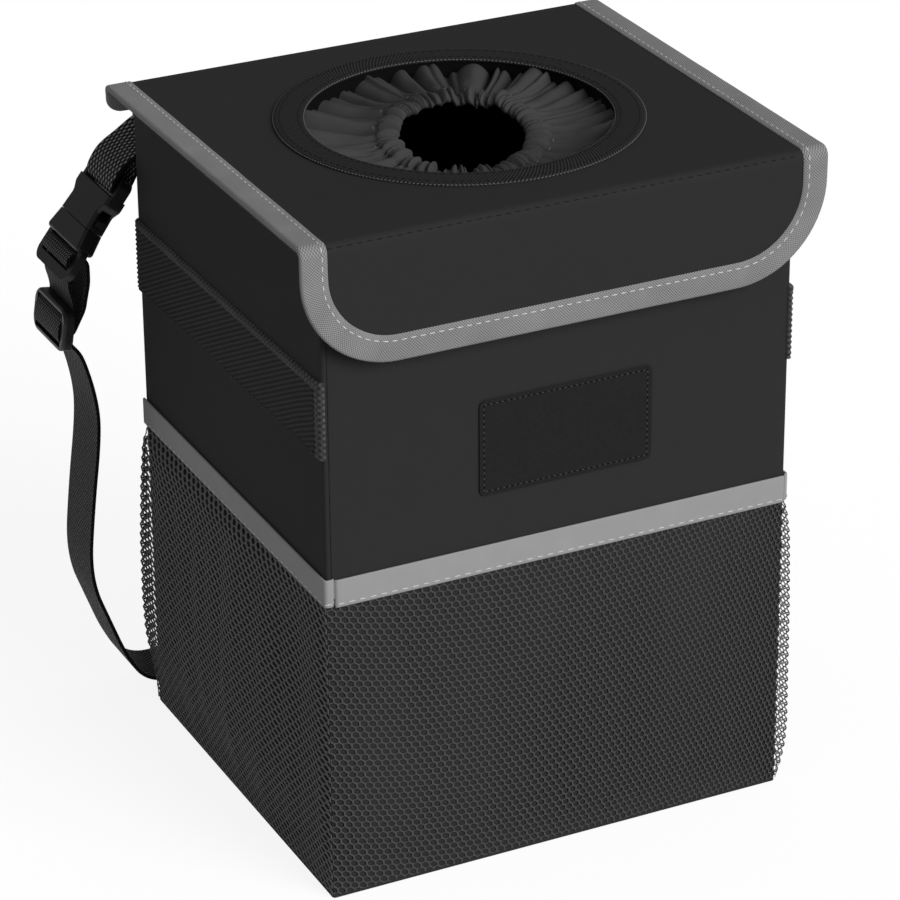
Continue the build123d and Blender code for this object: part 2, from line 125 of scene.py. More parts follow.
# Front net: how its rows bow up towards both ends, and how its holes crowd towards the right
FRONT_BOW = 1.58
FRONT_CROWD = (4.06, 28.1)

# Place of the stitches on the front fold, as a share of its turn
FOLD_SEAM = 0.55


def grey(level):
    """Linear colour of a neutral grey given as a screen level from 0 to 255."""
    share = ((level / 255 + 0.055) / 1.055) ** 2.4
    return (share, share, share)


def length_value(name, description, value):
    return FloatProperty(
        name=name, description=description, default=value, min=0.0, precision=5, unit="LENGTH"
    )


def angle_value(name, description, degrees):
    return FloatProperty(name=name, description=description, default=math.radians(degrees), subtype="ANGLE")


def colour_value(name, description, level):
    return FloatVectorProperty(
        name=name, description=description, default=grey(level), min=0.0, max=1.0, subtype="COLOR"
    )


class TrashBinSizes(bpy.types.PropertyGroup):
    """Sizes of the sewn work."""

    binding: length_value("Binding", "Width of the grey tape on the edges of lid and flap", 10.3 * MM)
    binding_cloth: length_value("Binding cloth", "Thickness of that tape", 0.6 * MM)
    flap_corner: length_value("Flap corner", "Radius of the lower corners of the flap", 36.8 * MM)
    stitch: length_value("Stitch", "Length of one stitch", 2.5 * MM)
    stitch_gap: length_value("Stitch pitch", "From one stitch to the next", 3.6 * MM)
    thread: length_value("Thread", "Thickness of the sewing thread", 0.5 * MM)
    net_pitch: length_value("Left net pitch", "Holes of the left net, side by side", 4.3 * MM)
    net_row: length_value("Left net row", "Rows of holes in the left net", 2.05 * MM)
    fine_pitch: length_value("Right net pitch", "Holes of the right net, side by side", 2.9 * MM)
    fine_row: length_value("Right net row", "Rows of holes in the right net", 1.8 * MM)
    front_pitch: length_value("Front net pitch", "Holes of the front net at its middle", 2.93 * MM)
    front_row: length_value("Front net row", "Rows of holes in the front net", 2.37 * MM)
    net_thread: length_value("Net thread", "Width of the threads between the holes", 0.5 * MM)
    net_cloth: length_value("Net cloth", "Thickness of the net", 0.28 * MM)
    rib_pitch: length_value("Rib pitch", "Distance of the ribs on the grip webbing", 1.75 * MM)
    rib: length_value("Rib", "Height of those ribs", 0.5 * MM)
    grip: length_value("Grip", "Thickness of the grip webbing below its ribs", 1.0 * MM)
    wall_corner: length_value("Wall corner", "Radius of the upright corners", 1.2 * MM)
    web: length_value("Webbing", "Width of the strap", 25 * MM)
    web_thick: length_value("Webbing thickness", "Thickness of the strap", 1.4 * MM)
    mouth: length_value("Mouth", "Radius of the mouth in the lid", 57 * MM)
    hem: length_value("Hem", "Radius of the gathered hem, at its middle", 27.2 * MM)
    gathers: IntProperty(name="Gathers", description="Gathers of the collar", default=25, min=8, max=60)


class TrashBinColours(bpy.types.PropertyGroup):
    """Colours of cloth, tape, thread and plastic."""

    cloth: colour_value("Cloth", "Outer cloth", 50)
    collar: colour_value("Collar", "Thin cloth of the gathered collar", 71)
    # Also the colour of the patch's needle-hole beads and of the strip under the mouth ring, both painted
    # shade
    liner: colour_value("Liner", "Lining of the bin", 12)
    binding: colour_value("Binding", "Woven grey tape", 143)
    band: colour_value("Band", "Smooth grey bands of the pockets", 164)
    net: colour_value("Net", "Threads of the front net", 78)
    side_net: colour_value("Side net", "Threads of the side nets", 110)
    # Painted highlight: a lighter colour on the rims of the net's holes stands in for light on the thread
    # edges
    net_edge_highlight: colour_value("Net edge highlight", "Edges of the holes in the net", 96)
    web: colour_value("Webbing", "Webbing of strap and grips", 36)
    seam: colour_value("Seam", "Seam beside the front left corner", 42)
    braid: colour_value("Braid", "Braided edges of the grips", 78)
    plastic: colour_value("Plastic", "Buckle and slider", 24)
    patch: colour_value("Patch", "Patch on the front", 32)
    thread: colour_value("Thread", "Pale stitches", 225)
    band_thread: colour_value("Band thread", "Stitches of the bands", 222)
    edge_thread: colour_value("Edge thread", "Braided edges of the mouth tape", 105)
    dark_thread: colour_value("Dark thread", "Stitches on the black cloth", 26)
    patch_thread: colour_value("Patch thread", "Stitches of the patch", 84)


class TrashBinStudio(bpy.types.PropertyGroup):
    """Camera and light."""

    eye: FloatVectorProperty(
        name="Eye", description="Place of the camera", subtype="TRANSLATION",
        default=(-0.60996, -1.24047, 0.80246),
    )
    azimuth: angle_value("Azimuth", "Turn round the bin", -26.044)
    elevation: angle_value("Elevation", "View from above", 26.037)
    roll: angle_value("Roll", "Tilt of the picture", -0.4726)
    lens: FloatProperty(name="Lens", description="Focal length in millimetres", default=161.01, min=1.0)
    sky: FloatProperty(name="Sky", description="Light from all round", default=0.27, min=0.0)
    key: FloatProperty(name="Key", description="Strength of the key light", default=2.2, min=0.0)


class Finish:
    """Node tree of one material, with short calls for what the finishes here share."""

    def __init__(self, name, colour, roughness, specular=0.1):
        self.material = bpy.data.materials.new(name)
        self.material.use_nodes = True
        self.tree = self.material.node_tree
        self.shader = self.tree.nodes["Principled BSDF"]
        self.colour = tuple(colour)
        self.shader.inputs["Base Color"].default_value = (*self.colour, 1.0)
        self.shader.inputs["Roughness"].default_value = roughness
        self.shader.inputs["Specular IOR Level"].default_value = specular

    def add(self, kind, *inputs, **settings):
        node = self.tree.nodes.new(kind)
        for key, value in settings.items():
            setattr(node, key, value)
        for socket, value in zip(node.inputs, inputs):
            if isinstance(value, bpy.types.NodeSocket):
                self.tree.links.new(value, socket)
            else:
                socket.default_value = value
        return node

    def math(self, operation, *inputs):
        return self.add("ShaderNodeMath", *inputs, operation=operation).outputs[0]

    def place(self, source):
        return self.add("ShaderNodeTexCoord").outputs[source]

    def axes(self, source):
        return self.add("ShaderNodeSeparateXYZ", self.place(source)).outputs

    def own(self, name):
        return self.add("ShaderNodeAttribute", attribute_name=name).outputs["Fac"]

    def ripple(self, along, pitch):
        return self.math("SINE", self.math("MULTIPLY", along, 2 * math.pi / pitch))

    def noise(self, source, scale, detail=2.0):
        node = self.add("ShaderNodeTexNoise", self.place(source))
        node.inputs["Scale"].default_value = scale
        node.inputs["Detail"].default_value = detail
        return node.outputs[0]

    def shade(self, factor, low, high, start=0.0, end=1.0):
        """Base colour that runs from low to high times the finish's own colour."""
        ramp = self.add("ShaderNodeValToRGB", factor)
        for stop, position, times in zip(ramp.color_ramp.elements, (start, end), (low, high)):
            stop.position = position
            stop.color = (*[min(1.0, c * times) for c in self.colour], 1.0)
        self.tree.links.new(ramp.outputs[0], self.shader.inputs["Base Color"])

    def bump(self, height, depth, strength=1.0):
        node = self.add("ShaderNodeBump")
        node.inputs["Strength"].default_value = strength
        node.inputs["Distance"].default_value = depth
        self.tree.links.new(height, node.inputs["Height"])
        self.tree.links.new(node.outputs[0], self.shader.inputs["Normal"])


def half_up(finish, wave):
    """The same wave from 0 to 1 instead of from -1 to 1."""
    return finish.math("MULTIPLY_ADD", wave, 0.5, 0.5)


def woven(name, colour, pitch, depth, contrast, roughness=0.85):
    """Plain weave on the piece's own UV map, in metres."""
    finish = Finish(name, colour, roughness)
    axes = finish.axes("UV")
    weave = finish.math("MULTIPLY", finish.ripple(axes[0], pitch), finish.ripple(axes[1], pitch))
    weave = half_up(finish, weave)
    cloud = finish.noise("UV", 60.0)
    factor = finish.math("MULTIPLY_ADD", finish.math("SUBTRACT", cloud, 0.5), 0.35, weave)
    finish.shade(factor, 1.0 - contrast, 1.0 + contrast)
    finish.bump(weave, depth, 0.6)
    return finish.material


def webbing(name, colour, pitch, depth, crest):
    """Basket weave of thick yarns, longer along the web than across it, with painted highlights on the yarn
    crests and painted shade between them.
    """
    finish = Finish(name, colour, 0.7)
    axes = finish.axes("UV")
    weave = finish.math("MULTIPLY", finish.ripple(axes[0], pitch * 1.3), finish.ripple(axes[1], pitch))
    yarn = finish.math("MULTIPLY_ADD", finish.ripple(axes[1], pitch / 4), 0.12, weave)
    height = half_up(finish, yarn)
    # Painted highlight: yarn crests up to crest times the colour, painted shade between them
    finish.shade(height, 0.3, crest, 0.5, 0.92)
    finish.bump(height, depth, 1.0)
    return finish.material


def smooth_tape(name, colour):
    """Smooth tape with a faint cloudiness."""
    finish = Finish(name, colour, 0.7)
    cloud = finish.noise("UV", 90.0)
    finish.shade(cloud, 0.97, 1.03, 0.3, 0.7)
    return finish.material


def speckled(name, colour, scale, depth, roughness, contrast=0.12, specular=0.1):
    """Finish with a fine even grain on object coordinates, such as moulded plastic or hook tape."""
    finish = Finish(name, colour, roughness, specular)
    grain = finish.noise("Object", scale, 3.0)
    finish.shade(grain, 1.0 - contrast, 1.0 + contrast, 0.3, 0.7)
    finish.bump(grain, depth, 0.6)
    return finish.material


def ribbed_tape(name, colour, pitch):
    """Tape of fine slanting ribs, for the ring round the mouth, with painted light on the ribs and painted
    shade between them.
    """
    finish = Finish(name, colour, 0.75)
    axes = finish.axes("UV")
    slant = finish.math("MULTIPLY_ADD", axes[1], 0.6, axes[0])
    ribs = half_up(finish, finish.ripple(slant, pitch))
    # Painted light on the ribs and painted shade between them
    finish.shade(ribs, 0.5, 2.2)
    finish.bump(ribs, 0.18 * MM, 0.9)
    return finish.material


def grip_tape(name, colour):
    """Ribbed webbing, with painted shade in the grooves between its ribs and painted light on their crests,
    and fine yarns across them.
    """
    finish = Finish(name, colour, 0.75)
    axes = finish.axes("UV")
    yarn = half_up(finish, finish.ripple(axes[0], 0.75 * MM))
    height = finish.math("MULTIPLY_ADD", finish.math("SUBTRACT", yarn, 0.5), 0.3, finish.own("crest"))
    # Painted shade and light: colour from 0.4 to 1.75 times, by rib height
    finish.shade(height, 0.4, 1.75)
    finish.bump(yarn, 0.08 * MM, 0.7)
    return finish.material


def finishes(colours):
    """Every finish of the bin by a short name, made once."""
    made = bpy.data.materials
    if "outer_cloth" not in made:
        woven("outer_cloth", colours.cloth, 0.55 * MM, 0.06 * MM, 0.06)
        woven("collar_cloth", colours.collar, 0.5 * MM, 0.04 * MM, 0.08, 0.7)
        # Lining cloth, also used for the painted shade strip under the mouth ring
        woven("lining_and_shade_cloth", colours.liner, 0.7 * MM, 0.06 * MM, 0.15)
        woven("woven_binding", colours.binding, 1.12 * MM, 0.16 * MM, 0.55)
        smooth_tape("band_tape", colours.band)
        for name, colour, roughness in (
            ("net_thread", colours.net, 0.8),
            ("side_net_thread", colours.side_net, 0.8),
            ("net_hole_highlight", colours.net_edge_highlight, 0.7),
        ):
            speckled(name, colour, 1800.0, 0.1 * MM, roughness, 0.25)
        webbing("coarse_webbing", colours.web, 2.6 * MM, 0.4 * MM, 20.0)
        webbing("fine_webbing", colours.web, 1.6 * MM, 0.25 * MM, 12.0)
        webbing("rim_webbing", colours.web, 1.0 * MM, 0.15 * MM, 2.0)
        grip_tape("grip_webbing", colours.web)
        woven("grip_braid", colours.braid, 2.4 * MM, 0.3 * MM, 0.6, 0.75)
        ribbed_tape("mouth_tape", colours.web, 1.3 * MM)
        speckled("moulded_plastic", colours.plastic, 900.0, 0.02 * MM, 0.42, specular=0.3)
        speckled("patch_face", colours.patch, 700.0, 0.05 * MM, 0.65, specular=0.1)
        for name, colour, roughness in (
            ("pale_thread", colours.thread, 0.7),
            ("band_thread", colours.band_thread, 0.7),
            ("edge_thread", colours.edge_thread, 0.7),
            ("dark_thread", colours.dark_thread, 0.7),
            ("patch_thread", colours.patch_thread, 0.7),
            # Near-black beads in the patch's stitch line: painted shade in the needle holes
            ("needle_hole_shade", colours.liner, 0.9),
            ("seam_cloth", colours.seam, 0.9),
        ):
            speckled(name, colour, 2500.0, 0.05 * MM, roughness)
        speckled("base_cloth", colours.cloth, 1400.0, 0.1 * MM, 0.85)
        speckled("hook_tape", colours.liner, 1500.0, 0.4 * MM, 0.9, 0.5)
        speckled("pressed_board", colours.patch, 300.0, 0.1 * MM, 0.9)
        speckled("elastic_cord", colours.web, 1200.0, 0.1 * MM, 0.8)
    return made


def ease(share):
    """Smooth step of a share that is first held between 0 and 1."""
    share = max(0.0, min(1.0, share))
    return share * share * (3 - 2 * share)


def along_table(table, place):
    """Value between the rows of a table in millimetres, for a place in metres."""
    place /= MM
    for (a, low), (b, high) in zip(table, table[1:]):
        if place <= b:
            return (low + (high - low) * max(0.0, (place - a) / (b - a))) * MM
    return table[-1][1] * MM


def cloth_grid(columns, rows, place, closed=False, flip=False):
    """Grid of quads whose points go where place(column, row) says, with a UV map in metres."""
    shape = bmesh.new()
    bmesh.ops.create_grid(shape, x_segments=columns, y_segments=rows, size=0.5)
    layer = shape.loops.layers.uv.new("UVMap")
    flat = {}
    for vert in shape.verts:
        column = round((vert.co.x + 0.5) * columns)
        row = round((vert.co.y + 0.5) * rows)
        vert.co, flat[vert] = place(column, row)
    for face in shape.faces:
        for loop in face.loops:
            loop[layer].uv = flat[loop.vert]
    if closed:
        bmesh.ops.remove_doubles(shape, verts=shape.verts, dist=1e-6)
    if flip:
        bmesh.ops.reverse_faces(shape, faces=shape.faces)
    return shape


def strip(stations, section, closed=False, flip=False):
    """Sheet swept along stations; section(index) lists its (across, up) offsets at one of them."""
    count = len(stations)
    profiles = [section(index) for index in range(count)]
    last = stations[-1].run + (stations[0].place - stations[-1].place).length
    girth = [0.0]
    for (a, b), (c, d) in zip(profiles[0], profiles[0][1:]):
        girth.append(girth[-1] + math.hypot(c - a, d - b))

    def place(column, row):
        station = stations[column % count]
        across, up = profiles[column % count][row]
        run = last if column == count else station.run
        return station.place + station.across * across + station.up * up, (run, girth[row])

    columns = count if closed else count - 1
    return cloth_grid(columns, len(profiles[0]) - 1, place, closed, flip)


def with_runs(triples):
    """Stations from (place, across, up) triples, with the distance run along them."""
    made = []
    run = 0.0
    for place, across, up in triples:
        if made:
            run += (place - made[-1].place).length
        made.append(Station(place, across, up, run))
    return made


def round_box(half_x, half_y, radius, cuts=16, arc=5):
    """Stations round a box with rounded corners, against the clock from above, across pointing outward."""
    triples = []
    corners = ((1, -1, -90), (1, 1, 0), (-1, 1, 90), (-1, -1, 180))
    for sign_x, sign_y, start in corners:
        centre = Vector((sign_x * (half_x - radius), sign_y * (half_y - radius), 0))
        for step in range(arc + 1):
            angle = math.radians(start + 90 * step / arc)
            out = Vector((math.cos(angle), math.sin(angle), 0))
            triples.append((centre + out * radius, out, Z_AXIS))
        following = Vector((-out.y, out.x, 0))
        reach = 2 * (half_y - radius) if abs(following.y) > 0.5 else 2 * (half_x - radius)
        for step in range(1, cuts):
            triples.append((centre + out * radius + following * reach * step / cuts, out, Z_AXIS))
    return with_runs(triples)


def ring_stations(radius, count):
    """Stations round the mouth, against the clock, across pointing away from its middle."""
    triples = []
    for step in range(count):
        angle = 2 * math.pi * step / count
        out = Vector((math.cos(angle), math.sin(angle), 0))
        triples.append((MOUTH + out * radius, out, Z_AXIS))
    return with_runs(triples)


def piece(name, shape, finish, body=None, wall=0.0, replaces=(), slot=None):
    """Object of one finished shape; wall gives a sheet its thickness, behind the side that shows."""
    for edge in shape.edges:
        edge.smooth = not edge.is_boundary
    mesh = bpy.data.meshes.new(name)
    shape.to_mesh(mesh)
    shape.free()
    mesh.polygons.foreach_set("use_smooth", [True] * len(mesh.polygons))
    mesh.materials.append(finish)
    made = bpy.data.objects.new(name, mesh)
    bpy.context.scene.collection.objects.link(made)
    if wall:
        solid = made.modifiers.new("Wall", "SOLIDIFY")
        solid.thickness = wall
        solid.offset = -1.0
    if body:
        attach(made, body)
    if replaces:
        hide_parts(*replaces)
    return made


def even_marks(points, outs, pitch, start=0.0):
    """Places at an even pitch along a line of points, each with the way along it and the way out of it."""
    marks = []
    goal = start
    run = 0.0
    for (a, out), b in zip(zip(points, outs), points[1:]):
        step = (b - a).length
        while step > 0 and goal <= run + step:
            marks.append((a.lerp(b, (goal - run) / step), (b - a).normalized(), out))
            goal += pitch
        run += step
    return marks


def stitches(name, marks, finish, length, thick, body=None, slot=None):
    """Row of stitches, each a small bead of thread lying along its mark."""
    shape = bmesh.new()
    for place, along, out in marks:
        side = out.cross(along).normalized()
        turn = Matrix((side, along.cross(side), along)).transposed().to_4x4()
        size = Matrix.Diagonal((thick / 2, thick / 2.6, length / 2, 1.0))
        bmesh.ops.create_uvsphere(
            shape, u_segments=6, v_segments=4, radius=1.0, matrix=Matrix.Translation(place) @ turn @ size
        )
    return piece(name, shape, finish, body, slot=slot)


# Kinds of seam: finish, pitch and start of the row, length and thickness of a stitch, and slot
SEAMS = {
    "corner": Seam("seam_cloth", 7 * MM, 3 * MM, 11 * MM, 0.6 * MM, "black_cloth"),
    "band": Seam("band_thread", 4.2 * MM, 2 * MM, 2.9 * MM, 0.45 * MM, "grey_binding"),
    "grip": Seam("grip_braid", 3.7 * MM, 2 * MM, 1.8 * MM, 0.6 * MM, "black_webbing"),
    "patch": Seam("patch_thread", 2.3 * MM, 1 * MM, 0.8 * MM, 0.5 * MM, "patch_rubber"),
    # Needle holes: near-black beads, painted shade in the holes of the patch's stitch line
    "needle": Seam("needle_hole_shade", 2.3 * MM, 2.15 * MM, 1.3 * MM, 0.6 * MM, "patch_rubber"),
    "fold": Seam("dark_thread", 3.8 * MM, 0.0, 2.4 * MM, 0.36 * MM, "black_cloth"),
    "hinge": Seam("dark_thread", 4.0 * MM, 0.0, 2.6 * MM, 0.6 * MM, "black_cloth"),
    "ring": Seam("dark_thread", 3.0 * MM, 0.0, 2.0 * MM, 0.45 * MM, "black_webbing"),
    "ring_edge": Seam("edge_thread", 1.5 * MM, 0.0, 1.1 * MM, 0.6 * MM, "black_webbing"),
    "anchor": Seam("dark_thread", 2.6 * MM, 0.0, 1.9 * MM, 0.5 * MM, "black_webbing"),
}


def pale_seam(sizes, start):
    """Seam of the binding, with the stitches that the sizes give."""
    return Seam("pale_thread", sizes.stitch_gap, start, sizes.stitch, sizes.thread, "grey_binding")


def sew(name, points, outs, seam, looks, body=None):
    """Even row of stitches of one kind of seam along a line of points."""
    marks = even_marks(points, outs, seam.pitch, seam.start)
    return stitches(name, marks, looks[seam.finish], seam.length, seam.thick, body, seam.slot)


def line_of(stations, across, up):
    """Line of points beside the stations and the direction that it faces."""
    points = [s.place + s.across * across + s.up * up for s in stations]
    return points, [s.up for s in stations]


def turned(vector, angle):
    return Matrix.Rotation(angle, 4, "Z") @ vector


def paint(node, finish):
    """Gives its finish to a solid of the frame that shows as it is."""
    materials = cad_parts[node].data.materials
    materials.clear()
    materials.append(finish)


class TRASHBIN_OT_inside(bpy.types.Operator):
    """Lining, boards, rim tape, base and closure strips"""

    bl_idname = "trash_bin.inside"
    bl_label = "Inside"

    def execute(self, context):
        looks = finishes(context.scene.trash_bin_colours)
        half_x = LINER_HIGH.x
        half_y = LINER_HIGH.y
        floor_z = LINER_LOW.z
        stations = round_box(half_x, half_y, 2.4 * MM, cuts=24)
        levels = [floor_z + (LINER_HIGH.z - floor_z) * step / 24 for step in range(25)]

        def lining(index):
            spot = stations[index].place
            offsets = []
            for level in levels:
                wave = noise.noise(Vector((spot.x * 18, spot.y * 18, level * 14)))
                offsets.append((-0.5 * MM * (1 + wave) * ease((LINER_HIGH.z - level) / 0.02), level))
            return offsets

        shape = strip(stations, lining, closed=True, flip=True)
        rim = [edge for edge in shape.edges if edge.is_boundary and edge.verts[0].co.z < floor_z + MM]
        bottom = bmesh.ops.holes_fill(shape, edges=rim, sides=0)["faces"]
        bmesh.ops.inset_region(shape, faces=bottom, thickness=4 * MM, depth=0.3 * MM)
        piece("bin_lining", shape, looks["lining_and_shade_cloth"], "bin", replaces=["inner_liner"], slot="liner")

        tape = round_box(WALL_HIGH.x, WALL_HIGH.y, context.scene.trash_bin_sizes.wall_corner, cuts=24)
        out = RIM_HIGH.x - WALL_HIGH.x
        inner = LINER_HIGH.x - WALL_HIGH.x - 1.4 * MM

        def rim_tape(index):
            crown = RIM_HIGH.z
            return [
                (out * 0.5, RIM_LOW.z), (out, RIM_LOW.z + 0.4 * MM), (out, crown - 0.5 * MM),
                (out * 0.4, crown), (inner + 0.5 * MM, crown), (inner, crown - 0.5 * MM), (inner, RIM_LOW.z),
            ]

        shape = strip(tape, rim_tape, closed=True)
        piece("rim_tape", shape, looks["rim_webbing"], "bin", 0.5 * MM, ["rim_binding"], "black_cloth")

        plain = {
            "base_panel": "base_cloth",
            "base_board": "pressed_board",
            "front_board": "pressed_board",
            "back_board": "pressed_board",
            "left_board": "pressed_board",
            "right_board": "pressed_board",
            "lid_board": "pressed_board",
            "closure_loop_strip": "hook_tape",
            "closure_hook_strip": "hook_tape",
        }
        for node, look in plain.items():
            paint(node, looks[look])
        return {"FINISHED"}


class TRASHBIN_OT_walls(bpy.types.Operator):
    """Outer cloth of the four walls, with the faint give of cloth over board"""

    bl_idname = "trash_bin.walls"
    bl_label = "Walls"

    def execute(self, context):
        looks = finishes(context.scene.trash_bin_colours)
        corner = context.scene.trash_bin_sizes.wall_corner
        stations = round_box(WALL_HIGH.x, WALL_HIGH.y, corner, cuts=36, arc=6)
        rows = 40
        height = WALL_HIGH.z - WALL_LOW.z

        def wall(index):
            spot = stations[index].place
            offsets = []
            for step in range(rows + 1):
                level = WALL_LOW.z + height * step / rows
                give = noise.noise(Vector((spot.x * 15, spot.y * 15, level * 11)))
                inner = min(WALL_HIGH.x - abs(spot.x) + WALL_HIGH.y - abs(spot.y), 0.02) / 0.02
                offsets.append((0.3 * MM * (0.5 + 0.5 * give) * ease(inner), level))
            return offsets

        shape = strip(stations, wall, closed=True)
        cloth = piece(
            "wall_cloth", shape, looks["outer_cloth"], "bin", 0.6 * MM, ["outer_shell"], "black_cloth"
        )
        x = 2.2 * MM - WALL_HIGH.x
        line = [Vector((x, WALL_LOW.y, z)) for z in (BAND_HIGH.z, WALL_HIGH.z - 6 * MM)]
        sew("corner_seam", line, [-Y_AXIS] * 2, SEAMS["corner"], looks, "bin")
        return {"FINISHED"}


class TRASHBIN_OT_pockets(bpy.types.Operator):
    """Three net pockets with their grey bands and stitches"""

    bl_idname = "trash_bin.pockets"
    bl_label = "Pockets"

    def execute(self, context):
        sizes = context.scene.trash_bin_sizes
        looks = finishes(context.scene.trash_bin_colours)
        for side, angle, wall, span in (
            ("front", 0.0, -WALL_LOW.y, WALL_HIGH.x * 2),
            ("left", -math.pi / 2, -WALL_LOW.x, WALL_HIGH.y * 2),
            ("right", math.pi / 2, WALL_HIGH.x, WALL_HIGH.y * 2),
        ):
            self.net(side, angle, wall, span, sizes, looks)
        self.bands(looks)
        return {"FINISHED"}

    def net(self, side, angle, wall, span, sizes, looks):
        """Flat net of holes laid out first, then hung in front of its wall."""
        low = 1.4 * MM
        top = BAND_LOW.z + 3 * MM
        snug = 0.5 * MM
        least = 0.35 * MM
        plain_taper = 1.2 * MM
        pitch, gap, look = {
            "front": (sizes.front_pitch, sizes.front_row, "net_thread"),
            "left": (sizes.net_pitch, sizes.net_row, "side_net_thread"),
            "right": (sizes.fine_pitch, sizes.fine_row, "side_net_thread"),
        }[side]
        thread_share, cloth_share, slack, taper = NET_MAKE[side]
        bow = FRONT_BOW if side == "front" else 0.0
        sag = bow * (span / 2) ** 2
        places, counts = self.crowd(side, pitch, span)
        cell = pitch / math.sqrt(3)
        squeeze = gap / (1.5 * cell)
        shape = bmesh.new()
        for row in range(math.ceil((top - low + sag) / gap) + 2):
            for column in range(math.ceil(counts[-1]) + 3):
                spot = Matrix.Translation(((column - 0.5 - 0.5 * (row % 2)) * pitch, row * gap, 0))
                size = Matrix.Diagonal((1, squeeze, 1, 1))
                bmesh.ops.create_circle(shape, cap_ends=True, segments=6, radius=cell, matrix=spot @ size)
        bmesh.ops.remove_doubles(shape, verts=shape.verts, dist=0.25 * MM)
        cells = list(shape.faces)
        bmesh.ops.inset_individual(shape, faces=cells, thickness=0.2 * MM)
        thread = sizes.net_thread * thread_share
        hole = 1 - thread / (math.sqrt(3) * cell)
        slant, narrow, tall = NET_DRAW[side]
        way = Vector((math.cos(math.radians(slant)), math.sin(math.radians(slant)), 0))
        for face in cells:
            centre = face.calc_center_median()
            for vert in face.verts:
                ray = (vert.co - centre).normalized()
                ray = Vector((ray.x, ray.y / squeeze, 0)).normalized() * cell * hole
                ray = Vector((ray.x, ray.y * squeeze, 0))
                vert.co = centre + ray * tall + way * ray.dot(way) * (narrow - tall)
        bmesh.ops.delete(shape, geom=cells, context="FACES")
        for vert in shape.verts:
            count = min(max(vert.co.x / pitch, counts[0]), counts[-1])
            index = min(bisect.bisect_right(counts, count), len(counts) - 1)
            share = (count - counts[index - 1]) / (counts[index] - counts[index - 1])
            x = places[index - 1] + (places[index] - places[index - 1]) * share
            level = low - sag + vert.co.y + bow * x * x
            vert.co = Vector((x + vert.co.x - count * pitch, level, 0))
        for spot, normal in (((span / 2, 0, 0), (1, 0, 0)), ((-span / 2, 0, 0), (-1, 0, 0)),
                             ((0, top, 0), (0, 1, 0)), ((0, low, 0), (0, -1, 0))):
            geom = shape.verts[:] + shape.edges[:] + shape.faces[:]
            bmesh.ops.bisect_plane(shape, geom=geom, plane_co=spot, plane_no=normal, clear_outer=True)
        layer = shape.loops.layers.uv.new("UVMap")
        for face in shape.faces:
            for loop in face.loops:
                loop[layer].uv = loop.vert.co.xy
        for vert in shape.verts:
            x, z = vert.co.x, vert.co.y
            hang = along_table(NET_HANG[side], z)
            if side == "left":
                hang *= 0.24 + 0.76 * ease((0.075 - x) / 0.07)
            fold = noise.noise(Vector((x * 60, z * 9, wall * 40)))
            fold += 0.5 * noise.noise(Vector((x * 140, z * 14, 3)))
            hang += slack * fold * ease(z / 0.02) * ease((top - z) / 0.03)
            hang = snug + (hang - snug) * ease((top - 2.5 * MM - z) / (4 * MM))
            from_end = (span / 2 - abs(x)) / (taper if x > 0 else plain_taper)
            hang = max(least, hang * min(1.0, from_end + 0.1))
            vert.co = turned(Vector((x, -wall - hang, z)), angle)
        cloth = sizes.net_cloth * cloth_share
        net = piece(f"{side}_net", shape, looks[look], "bin", cloth, [f"{side}_pocket_net"], "net")
        # The hole rims take the lighter rim finish, a painted highlight on the thread edges
        net.data.materials.append(looks["net_hole_highlight"])
        net.modifiers["Wall"].material_offset_rim = 1

    def crowd(self, side, pitch, span):
        """Places along a pocket and the holes of its net up to each; the front net crowds to the right."""
        places = [span * step / 200 - span / 2 for step in range(201)]
        counts = [0.0]
        for a, b in zip(places, places[1:]):
            middle = (a + b) / 2
            slope, curve = FRONT_CROWD if side == "front" else (0.0, 0.0)
            density = 1 + slope * middle + curve * middle ** 2
            counts.append(counts[-1] + density * (b - a) / pitch)
        return places, counts

    def bands(self, looks):
        """Side bands turn the corner on to the front, where the front band meets them in a groove."""
        laps = {"left": 3.7 * MM, "right": 1.8 * MM}
        proud = 1.2 * MM
        out_x = WALL_HIGH.x + proud
        out_y = WALL_HIGH.y + proud
        radius = 1.6 * MM
        start = laps["left"] + 0.7 * MM - out_x
        stop = out_x - laps["right"] - 0.1 * MM
        triples = []
        for step in range(41):
            share = 0.5 + 0.5 * math.sin((step / 20 - 1) * math.pi / 2)
            triples.append((Vector((start + (stop - start) * share, -out_y, 0)), -Y_AXIS, Z_AXIS))
        self.band("front", with_runs(triples), looks)
        for side, sign in (("left", -1), ("right", 1)):
            triples = []
            for step in range(29):
                y = WALL_HIGH.y - (WALL_HIGH.y + out_y - radius) * step / 28
                triples.append((Vector((sign * out_x, y, 0)), sign * X_AXIS, Z_AXIS))
            for step in range(1, 9):
                angle = math.pi / 2 * step / 8
                out = Vector((sign * math.cos(angle), -math.sin(angle), 0))
                centre = Vector((sign * (out_x - radius), -out_y + radius, 0))
                triples.append((centre + out * radius, out, Z_AXIS))
            for step in range(1, 7):
                x = out_x - radius - (laps[side] - radius) * math.sin(step / 6 * math.pi / 2)
                triples.append((Vector((sign * x, -out_y, 0)), -Y_AXIS, Z_AXIS))
            if sign > 0:
                triples.reverse()
            self.band(side, with_runs(triples), looks)

    def band(self, side, stations, looks):
        """One band along its stations, with the stitches near its foot."""
        depth = 1.0 * MM
        length = stations[-1].run

        def level(index):
            """Foot of the band; the front band sits a little low, the side bands rise to the back."""
            rise = -1.0 if side == "front" else max(0.0, stations[index].place.y / WALL_HIGH.y + 1)
            return BAND_LOW.z + 0.65 * MM * rise

